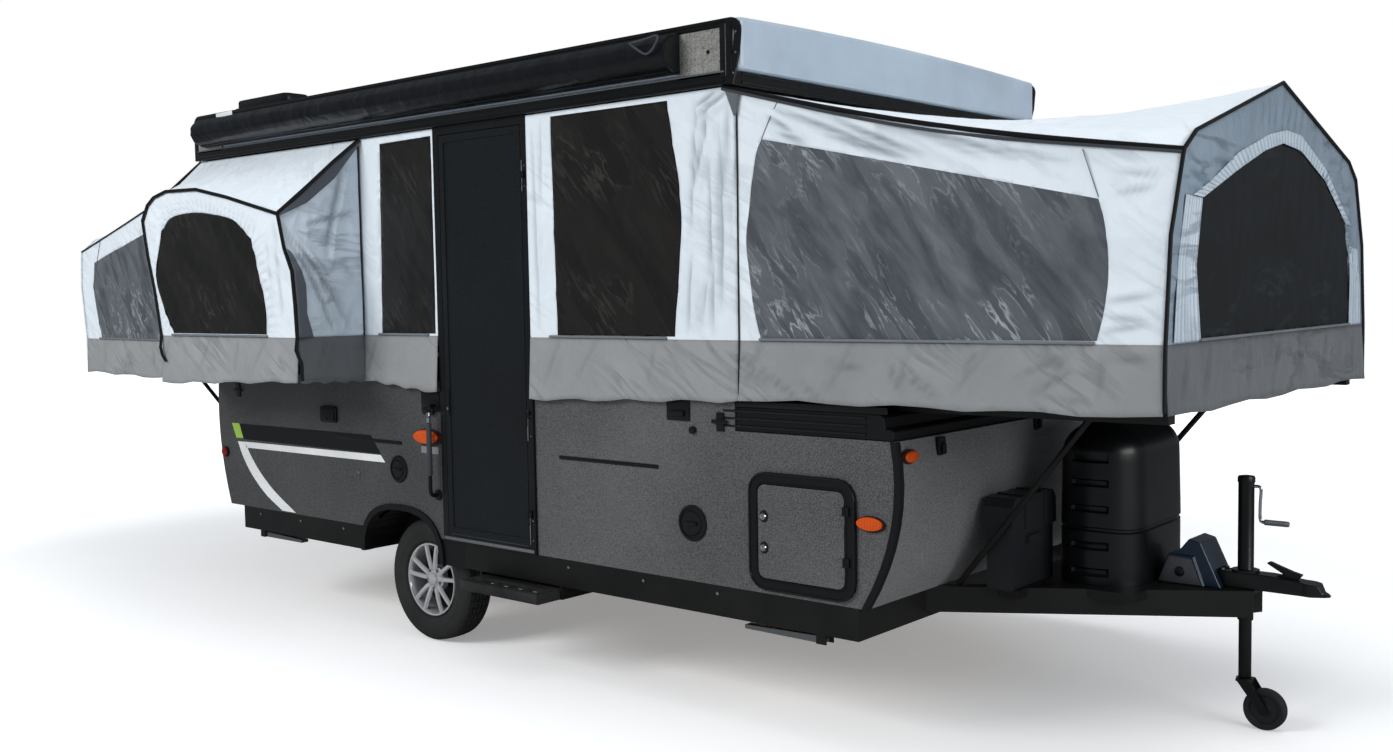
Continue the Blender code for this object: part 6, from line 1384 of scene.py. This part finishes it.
# Entry step: a welded tray with a bonded strip of grit along its tread, dull and sparkling.
step_steel = metal_coat("step_steel", "#1D1E1F", "#3A3A38", 0.5, 120.0)
dress(step_steel, "entry_step")
grit = speckled("bonded_grit", "#3C3C3A", "#161616")
slab("step_grit_strip", (0.436, 0.874), (-1.1600, -1.1420), (0.3555, 0.3575), grit, "entry_step", 0.0005)
slab("step_grit_strip_inner", (0.436, 0.874), (-1.0980, -1.0640), (0.3555, 0.3575), grit, "entry_step", 0.0005)
slab("step_nosing", (0.424, 0.886), (-1.1690, -1.1640), (0.3200, 0.3575), step_steel, "entry_step", 0.0015)


# Side fittings: lamps with ribbed lenses, round filler caps, slot strips, an outlet, key locks,
# latches for the slides and clamps that hold the roof down for the road.
def lens(name, colour, glow):
    """Moulded acrylic lens: clear colour over fine vertical prisms, with a wet shine."""
    made, tree, shader = new_material(name)
    shader.inputs["Roughness"].default_value = 0.12
    shader.inputs["IOR"].default_value = 1.49
    shader.inputs["Subsurface Weight"].default_value = 0.3
    shader.inputs["Subsurface Scale"].default_value = 0.01
    place = node(tree, "TexCoord").outputs["Object"]
    prisms = node(tree, "TexWave", {"Vector": place, "Scale": 55.0, "Distortion": 0.0}, bands_direction="X")
    tone = node(tree, "ValToRGB", {"Fac": prisms.outputs["Fac"]})
    tone.color_ramp.elements[0].color, tone.color_ramp.elements[1].color = linear(colour), linear(glow)
    bump = node(tree, "Bump", {"Height": prisms.outputs["Fac"], "Strength": 0.5, "Distance": 0.001})
    linked(tree, shader, tone, bump=bump)
    return made


def oval(x, z, wide, tall, steps=40):
    """Outline of an ellipse."""
    return [(x + wide * math.cos(math.tau * k / steps),
             z + tall * math.sin(math.tau * k / steps)) for k in range(steps)]


dark_seal = moulded("dark_lamp_seal", "#2A120C", 0.4, 2.0, 0.0003)
label_film = moulded("blank_grey_label", "#77787A", 0.5, 4.0, 0.00005)
plate("blank_label", rounded_box((0.045, 0.165), (0.846, 0.876), 0.004), 1, -1.0511, SIDE, label_film)
amber, red = lens("amber_acrylic", "#B23A08", "#E06018"), lens("red_acrylic", "#5A0B0C", "#8A1A1A")
plate("marker_base_fore", oval(2.359, 0.7665, 0.056, 0.027), 1, -1.0550, SIDE, dark_seal, "trailer", 0.001)
plate("marker_lens_fore", oval(2.358, 0.7680, 0.050, 0.0225), 1, -1.0670, -1.0545, amber, "trailer", 0.005)
plate("door_lamp_base", oval(0.104, 0.9170, 0.090, 0.037), 1, -1.0580, SIDE, dark_seal, "trailer", 0.002)
plate("door_lamp_lens", oval(0.097, 0.9190, 0.078, 0.030), 1, -1.0750, -1.0575, amber, "trailer", 0.006)
plate("rear_side_lamp_base", oval(-1.5535, 0.7475, 0.029, 0.027), 1, -1.0560, SIDE, lid_plastic, "trailer", 0.001)
plate("rear_side_lamp_lens", oval(-1.5535, 0.7480, 0.024, 0.022), 1, -1.0660, -1.0555, red, "trailer", 0.003)
cap_grey = moulded("charcoal_cap_plastic", "#3B3C3D", 0.42, 2.5, 0.0005)
for label, x, z, size, side in (("fore", 1.597, 0.694, 0.066, -1), ("aft", -0.117, 0.763, 0.060, -1),
                                ("street", 1.250, 0.700, 0.066, 1)):
    centre = at(x, side * 1.0500, z)
    rim = [(0.0, 0.0), (size, 0.0), (size, 0.004), (size - 0.004, 0.008), (size - 0.012, 0.009), (size - 0.014, 0.005),
           (size - 0.020, 0.005), (size - 0.024, 0.010), (0.0, 0.012)]
    cap = spun("filler_cap_" + label, [(r, side * a) for r, a in rim], centre, 1, 64, False)
    fit(smooth(cap, 35), cap_grey if side > 0 else lid_plastic, "trailer")
    slab("filler_cap_grip_" + label, (x - size * 0.42, x + size * 0.42), sorted((side * 1.0605, side * 1.0690)),
         (z - 0.006, z + 0.006),
         lid_plastic, edge=0.002)
slab("slot_strip_fore", (0.911, 1.435), (-1.0530, SIDE), (0.878, 0.893), lid_plastic, edge=0.001)
slab("slot_strip_aft", (-0.580, -0.091), (-1.0530, SIDE), (0.871, 0.887), lid_plastic, edge=0.001)
for label, x in (("fore", (0.917, 1.429)), ("aft", (-0.574, -0.097))):
    low = 0.8835 if label == "fore" else 0.8775
    slab("slot_strip_slide_" + label, x, (-1.0545, -1.0525), (low, low + 0.004), satin_black, edge=0.0005)
plate("outlet_box", rounded_box((-0.693, -0.569), (0.946, 1.019), 0.010), 1, -1.0640, SIDE, lid_plastic, "trailer",
      0.002)
plate("outlet_lid", rounded_box((-0.684, -0.578), (0.953, 1.012), 0.008), 1, -1.0700, -1.0635, black_moulding,
      "trailer", 0.002)
post("outlet_knob", (-0.631, -1.0695, 0.962), (-0.631, -1.0740, 0.962), 0.006, satin_black, sides=20, edge=0.001)
lock = spun("side_lock", [(0.0, 0.0), (0.012, 0.0), (0.012, -0.003), (0.009, -0.005), (0.0, -0.005)],
            at(-0.420, -1.0500, 0.723), 1, 32, False)
fit(smooth(lock, 40), brushed, "trailer")
ring = [(-0.420 + 0.011 * math.cos(k * math.tau / 20), -1.0575,
         0.708 + 0.011 * math.sin(k * math.tau / 20)) for k in range(21)]
piping("key_ring", ring, 0.0012, material=brushed)
slab("slide_latch_fore_plate", (1.485, 1.593), (-1.0570, SIDE), (1.062, 1.136), satin_black, edge=0.002)
slab("slide_latch_fore_arm", (1.505, 1.572), (-1.0680, -1.0565), (1.078, 1.098), lid_plastic, edge=0.003)
post("slide_latch_fore_knob", (1.608, SIDE, 1.031), (1.608, -1.0640, 1.031), 0.014, lid_plastic, sides=28, edge=0.003)
slab("slide_latch_aft_plate", (0.061, 0.186), (-1.0570, SIDE), (1.030, 1.115), satin_black, edge=0.002)
slab("slide_latch_aft_arm", (0.080, 0.150), (-1.0690, -1.0565), (1.017, 1.045), lid_plastic, edge=0.003)
for label, x, side in (("aft_curb", (-1.448, -1.378), -1), ("fore_curb", (1.700, 1.770), -1),
                       ("aft_street", (-1.448, -1.378), 1),
                       ("fore_street", (1.700, 1.770), 1)):
    y = sorted((side * 1.0505, side * 1.0560))
    slab("roof_clamp_" + label, (x[0] + 0.018, x[1] - 0.018), y, (1.033, 1.100), satin_black, edge=0.0015)
    slab("roof_clamp_hook_" + label, x, sorted((side * 1.0555, side * 1.0620)), (1.060, 1.074), satin_black,
         edge=0.0015)
for k, (x, z) in enumerate(((1.709, 0.453), (1.35, 0.453), (0.95, 0.453), (-0.55, 0.453), (-0.90, 0.453),
                            (-1.25, 0.453))):
    post("rail_bolt_%d" % k, (x, SIDE, z), (x, -1.0545, z), 0.0065, brushed, sides=16, edge=0.001)

# Graphics: cut vinyl film on the rear half of both sides: a green block, a black band with a
# slanted end over a thin white stripe, and a white swoosh that curves down to the sill.
film_black = moulded("black_vinyl_film", "#0D0E10", 0.30, 6.0, 0.00005)
film_green = moulded("green_vinyl_film", "#8FB543", 0.32, 6.0, 0.00005)
film_white = moulded("white_vinyl_film", "#D4D6D6", 0.32, 6.0, 0.00005)
swoosh_top = rounded_line([(-1.373, 0.807), (-1.327, 0.744), (-1.241, 0.661), (-1.117, 0.576), (-0.942, 0.488)])
swoosh_low = rounded_line([(-1.058, 0.488), (-1.202, 0.558), (-1.318, 0.644), (-1.395, 0.729), (-1.441, 0.807)])
for label, side in HANDS:
    y = sorted((side * 1.0503, side * 1.0510))
    plate("green_block_" + label, [(-1.453, 0.824), (-1.389, 0.826), (-1.423, 0.899), (-1.489, 0.897)], 1, *y,
          film_green)
    plate("black_band_" + label, [(-1.384, 0.820), (-0.248, 0.820), (-0.258, 0.832), (-0.318, 0.902), (-1.418, 0.898)],
          1, *y, film_black)
    plate("white_stripe_" + label, [(-1.362, 0.779), (-0.216, 0.784), (-0.248, 0.816), (-1.372, 0.808)], 1, *y,
          film_white)
    plate("white_swoosh_" + label, [tuple(p) for p in swoosh_top + swoosh_low], 1, *y, film_white)

# Front wall: three road clamps with their levers and an amber lamp at each side.
for label, y, z in (("curb", -0.990, 0.987), ("street", 0.990, 0.987)):
    x = span("box_front")[1].x
    plate("front_lamp_base_" + label, oval(y, z, 0.042, 0.024), 0, x - 0.012, x + 0.003, dark_seal, "trailer", 0.001)
    plate("front_lamp_lens_" + label, oval(y, z, 0.036, 0.019), 0, x + 0.0025, x + 0.015, amber, "trailer", 0.005)
for label, y, z in (("curb", -0.791, 1.002), ("middle", -0.092, 1.023), ("street", 0.700, 1.002)):
    x = span("box_front")[1].x
    slab("front_clamp_%s" % label, (x - 0.010, x + 0.004), (y - 0.022, y + 0.022), (z - 0.030, z + 0.030), satin_black,
         edge=0.002)
    slab("front_clamp_lever_%s" % label, (x + 0.003, x + 0.014), (y - 0.010, y + 0.010), (z - 0.024, z + 0.010),
         satin_black, edge=0.002)

# Rear wall: tail lamps, a blank plate in its holder and three red clearance lamps.
REAR_X = span("box_rear")[0].x
for label, side in HANDS:
    y = sorted((side * 0.78, side * 0.94))
    plate("tail_lamp_base_" + label, rounded_box(y, (0.700, 0.800), 0.012), 0, REAR_X - 0.008, REAR_X + 0.030,
          lid_plastic, "trailer", 0.002)
    plate("tail_lamp_lens_" + label, rounded_box((y[0] + 0.008, y[1] - 0.008), (0.708, 0.792), 0.010), 0,
          REAR_X - 0.022, REAR_X - 0.0075, red,
          "trailer", 0.004)
plate("blank_plate", rounded_box((-0.155, 0.155), (0.640, 0.790), 0.010), 0, REAR_X - 0.003, REAR_X - 0.0015,
      film_white, "trailer", 0.0005)
plate("plate_holder", rounded_box((-0.165, 0.165), (0.630, 0.800), 0.012), 0, REAR_X - 0.0014, REAR_X + 0.040,
      lid_plastic, "trailer", 0.001)
for k, y in enumerate((-0.30, 0.0, 0.30)):
    slab("rear_clearance_lamp_%d" % k, (REAR_X - 0.006, REAR_X + 0.030), (y - 0.030, y + 0.030), (0.955, 0.980), red,
         edge=0.004)

# Street side: a louvred refrigerator vent and a furnace cover with two outlets.
vent_y = (1.0505, 1.0580)
plate("fridge_vent", rounded_box((0.95, 1.40), (0.780, 0.980), 0.012), 1, *vent_y, cap_grey, "trailer", 0.002)
for k in range(9):
    slab("fridge_vent_louvre_%d" % k, (0.975, 1.375), (1.0575, 1.0660), (0.795 + k * 0.019, 0.805 + k * 0.019),
         cap_grey, edge=0.003)
plate("furnace_cover", rounded_box((-0.95, -0.65), (0.560, 0.760), 0.015), 1, *vent_y, cap_grey, "trailer", 0.002)
for k, z in enumerate((0.615, 0.705)):
    tube = spun("furnace_outlet_%d" % k, [(0.024, 0.0), (0.032, 0.0), (0.032, 0.014), (0.024, 0.014)],
                at(-0.80, 1.0580, z), 1, 40)
    fit(smooth(tube, 40), brushed, "trailer")

# Gas bottle cover: a moulded shell in two parts over two bottles, with a wavy seam, grips down
# its side and a domed top. The plastic is dark with a bluish sky sheen.
shell_plastic = moulded("gloss_black_shell", "#090B0E", 0.36, 5.0, 0.0004, 0.08)
GAS_LOW, GAS_HIGH = span("gas_bottle_cover")
gas_x, gas_z, gas_tall = (GAS_LOW.x + GAS_HIGH.x) / 2, GAS_LOW.z, GAS_HIGH.z - GAS_LOW.z
GAS_R, GAS_HALF = 0.155, 0.130


def lofted(name, rings, material, body="trailer", degrees=30, *replaced):
    """Rings of as many points each, joined in order and closed at both ends."""
    spots, faces = [], []
    count = len(rings[0])
    for row in rings:
        spots += row
    for j in range(len(rings) - 1):
        for i in range(count):
            k = (i + 1) % count
            faces.append((j * count + i, j * count + k, (j + 1) * count + k, (j + 1) * count + i))
    faces += [tuple(range(count))[::-1], tuple(range((len(rings) - 1) * count, len(rings) * count))]
    mesh = bpy.data.meshes.new(name)
    made = bpy.data.objects.new(name, mesh)
    bpy.context.scene.collection.objects.link(made)
    mesh.from_pydata(spots, [], faces)
    deselect()
    made.select_set(True)
    bpy.context.view_layer.objects.active = made
    bpy.ops.object.mode_set(mode="EDIT")
    bpy.ops.mesh.select_all(action="SELECT")
    bpy.ops.mesh.normals_make_consistent(inside=False)
    bpy.ops.object.mode_set(mode="OBJECT")
    return fit(smooth(made, degrees), material, body, *replaced)


def cover_ring(share, grow, wave=0.0):
    ring = []
    for k in range(96):
        angle = math.tau * k / 96
        y = (GAS_HALF if math.sin(angle) >= 0 else -GAS_HALF) + (GAS_R + grow) * math.sin(angle)
        grip = 0.0
        for place_at in (0.085, 0.245, 0.475, 0.64, 0.79):
            if abs(share - place_at) < 0.024:
                grip = max(grip, 0.012 * (1 - (abs(share - place_at) / 0.024) ** 4))
        if not (y < -GAS_HALF and abs(math.cos(angle)) < 0.42):
            grip = 0.0
        x = gas_x + (GAS_R + grow - grip * 0.4) * math.cos(angle)
        ring.append(at(x, y + grip, gas_z + share * gas_tall + wave * math.sin(angle * 3.0)))
    return ring


rings = [cover_ring(0.0, 0.0)]
for k in range(1, 24):
    rings.append(cover_ring(0.33 * k / 24, 0.0))
rings += [cover_ring(0.330, 0.0, 0.004), cover_ring(0.340, -0.007, 0.004), cover_ring(0.352, -0.007, 0.004),
          cover_ring(0.362, 0.001, 0.004)]
for k in range(1, 34):
    rings.append(cover_ring(0.362 + 0.428 * k / 34, 0.001 - 0.005 * k / 34, 0.004 * (1 - k / 34)))
for k in range(1, 15):
    angle = math.pi / 2 * k / 14
    rings.append(cover_ring(0.80 + 0.20 * math.sin(angle), -0.004 - 0.125 * (1 - math.cos(angle))))
lofted("gas_cover_shell", rings, shell_plastic, "trailer", 35, "gas_bottle_cover")

# Battery box, wedge housing and coupler on the tongue: ribbed lid, grey cheeks with a pivot boss
# over a blue-black housing, and a stamped ball coupler with its latch.
dress(moulded("battery_box_plastic", "#1F2225", 0.42, 3.0, 0.0006), "battery_box")
housing = moulded("blue_black_housing", "#0B2034", 0.34, 3.5, 0.0004, 0.2)
dress(housing, "tongue_cover")
dress(metal_coat("enamelled_coupler", "#0C0D0E", "#1B1C1C", 0.34, 70.0), "coupler")
cheek_grey = metal_coat("grey_enamel_cheek", "#3C3C40", "#4A4A4E", 0.4)
JX = 3.188
wedge_z = 0.4818
for label, side in HANDS:
    y = sorted((side * 0.0832, side * 0.0870))
    plate("wedge_cheek_" + label, [(JX - 0.272, wedge_z + 0.004), (JX - 0.122, wedge_z + 0.004),
                                   (JX - 0.156, wedge_z + 0.092),
                                   (JX - 0.232, wedge_z + 0.096)], 1, *y, cheek_grey, "trailer", 0.001)
    post("wedge_boss_" + label, (JX - 0.195, side * 0.0865, wedge_z + 0.045),
         (JX - 0.195, side * 0.0935, wedge_z + 0.045), 0.016, satin_black,
         sides=28, edge=0.002)
for k, y in enumerate((-0.022, 0.022)):
    for j, x in enumerate((JX - 0.110, JX - 0.070)):
        post("coupler_bolt_%d_%d" % (k, j), (x, y, 0.5372), (x, y, 0.5440), 0.0085, zinc, sides=6, edge=0.001)

# Tongue jack: a steel tube with a flange, a domed cap and a side crank of bright bent rod with a
# knurled sleeve; below, a swivelling fork with a moulded wheel.
JACK_LOW, JACK_HIGH = span("jack_tube")
jack_x = (span("jack_tube")[0].x + span("jack_tube")[1].x) / 2
tube = [(0.0, JACK_LOW.z), (0.019, JACK_LOW.z), (0.021, JACK_LOW.z + 0.003), (0.021, 0.3692), (0.024, 0.3692),
        (0.026, 0.3720), (0.026, 0.5372),
        (0.045, 0.5376), (0.045, 0.5450), (0.0275, 0.5465), (0.026, 0.5500), (0.026, 0.8440), (0.0285, 0.8450),
        (0.0285, 0.8600),
        (0.026, 0.8660), (0.015, JACK_HIGH.z), (0.0, JACK_HIGH.z)]
jack = spun("jack_column", tube, at(jack_x, 0.0, 0.0), 2, 64, False)
fit(smooth(jack, 35), satin_black, "trailer", "jack_tube")
CRANK_Z = 0.832
crank_x = jack_x + 0.0263
rod_line = rounded_line([(crank_x, 0.0, CRANK_Z), (crank_x + 0.014, 0.0, CRANK_Z),
                         (crank_x + 0.022, 0.0, CRANK_Z - 0.010),
                         (crank_x + 0.020, 0.0, CRANK_Z - 0.060), (crank_x + 0.020, 0.0, CRANK_Z - 0.108),
                         (crank_x + 0.028, 0.0, CRANK_Z - 0.120), (crank_x + 0.050, 0.0, CRANK_Z - 0.120),
                         (crank_x + 0.110, 0.0, CRANK_Z - 0.120)])
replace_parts(piping("crank_rod", rod_line, 0.0055, "jack_crank", chrome), "jack_crank")
grip = [(0.0, 0.0), (0.0080, 0.0), (0.0095, 0.002)]
for k in range(9):
    grip += [(0.0100, 0.004 + k * 0.008), (0.0100, 0.008 + k * 0.008), (0.0090, 0.009 + k * 0.008),
             (0.0090, 0.011 + k * 0.008)]
grip += [(0.0095, 0.078), (0.0080, 0.080), (0.0, 0.080)]
fit(smooth(spun("crank_grip", grip, at(crank_x + 0.034, 0.0, CRANK_Z - 0.120), 0, 32, False), 35), zinc, "jack_crank")
dress(satin_black, "caster_fork")
post("caster_axle_nut", (JX + 0.069, -0.0300, 0.070), (JX + 0.069, 0.0300, 0.070), 0.0075, zinc, "caster_wheel", 24,
     0.001)
CASTER = 0.070
wheel = [(0.0078, 0.017), (0.020, 0.017), (0.023, 0.012), (0.045, 0.011), (0.050, 0.018), (0.0560, 0.0200),
         (0.0640, 0.0215), (0.0680, 0.0190),
         (0.0696, 0.0140), (0.0700, 0.0060)]
wheel = spun("caster_roller", wheel + [(r, -a) for r, a in reversed(wheel)], at(JX + 0.069, 0.0, CASTER), 1, 64)
fit(smooth(wheel, 35), moulded("caster_wheel_plastic", "#1E1F20", 0.5, 2.0, 0.0005), "caster_wheel", "caster_wheel")

# The tone of the view.
bpy.context.scene.view_settings.view_transform = "Standard"
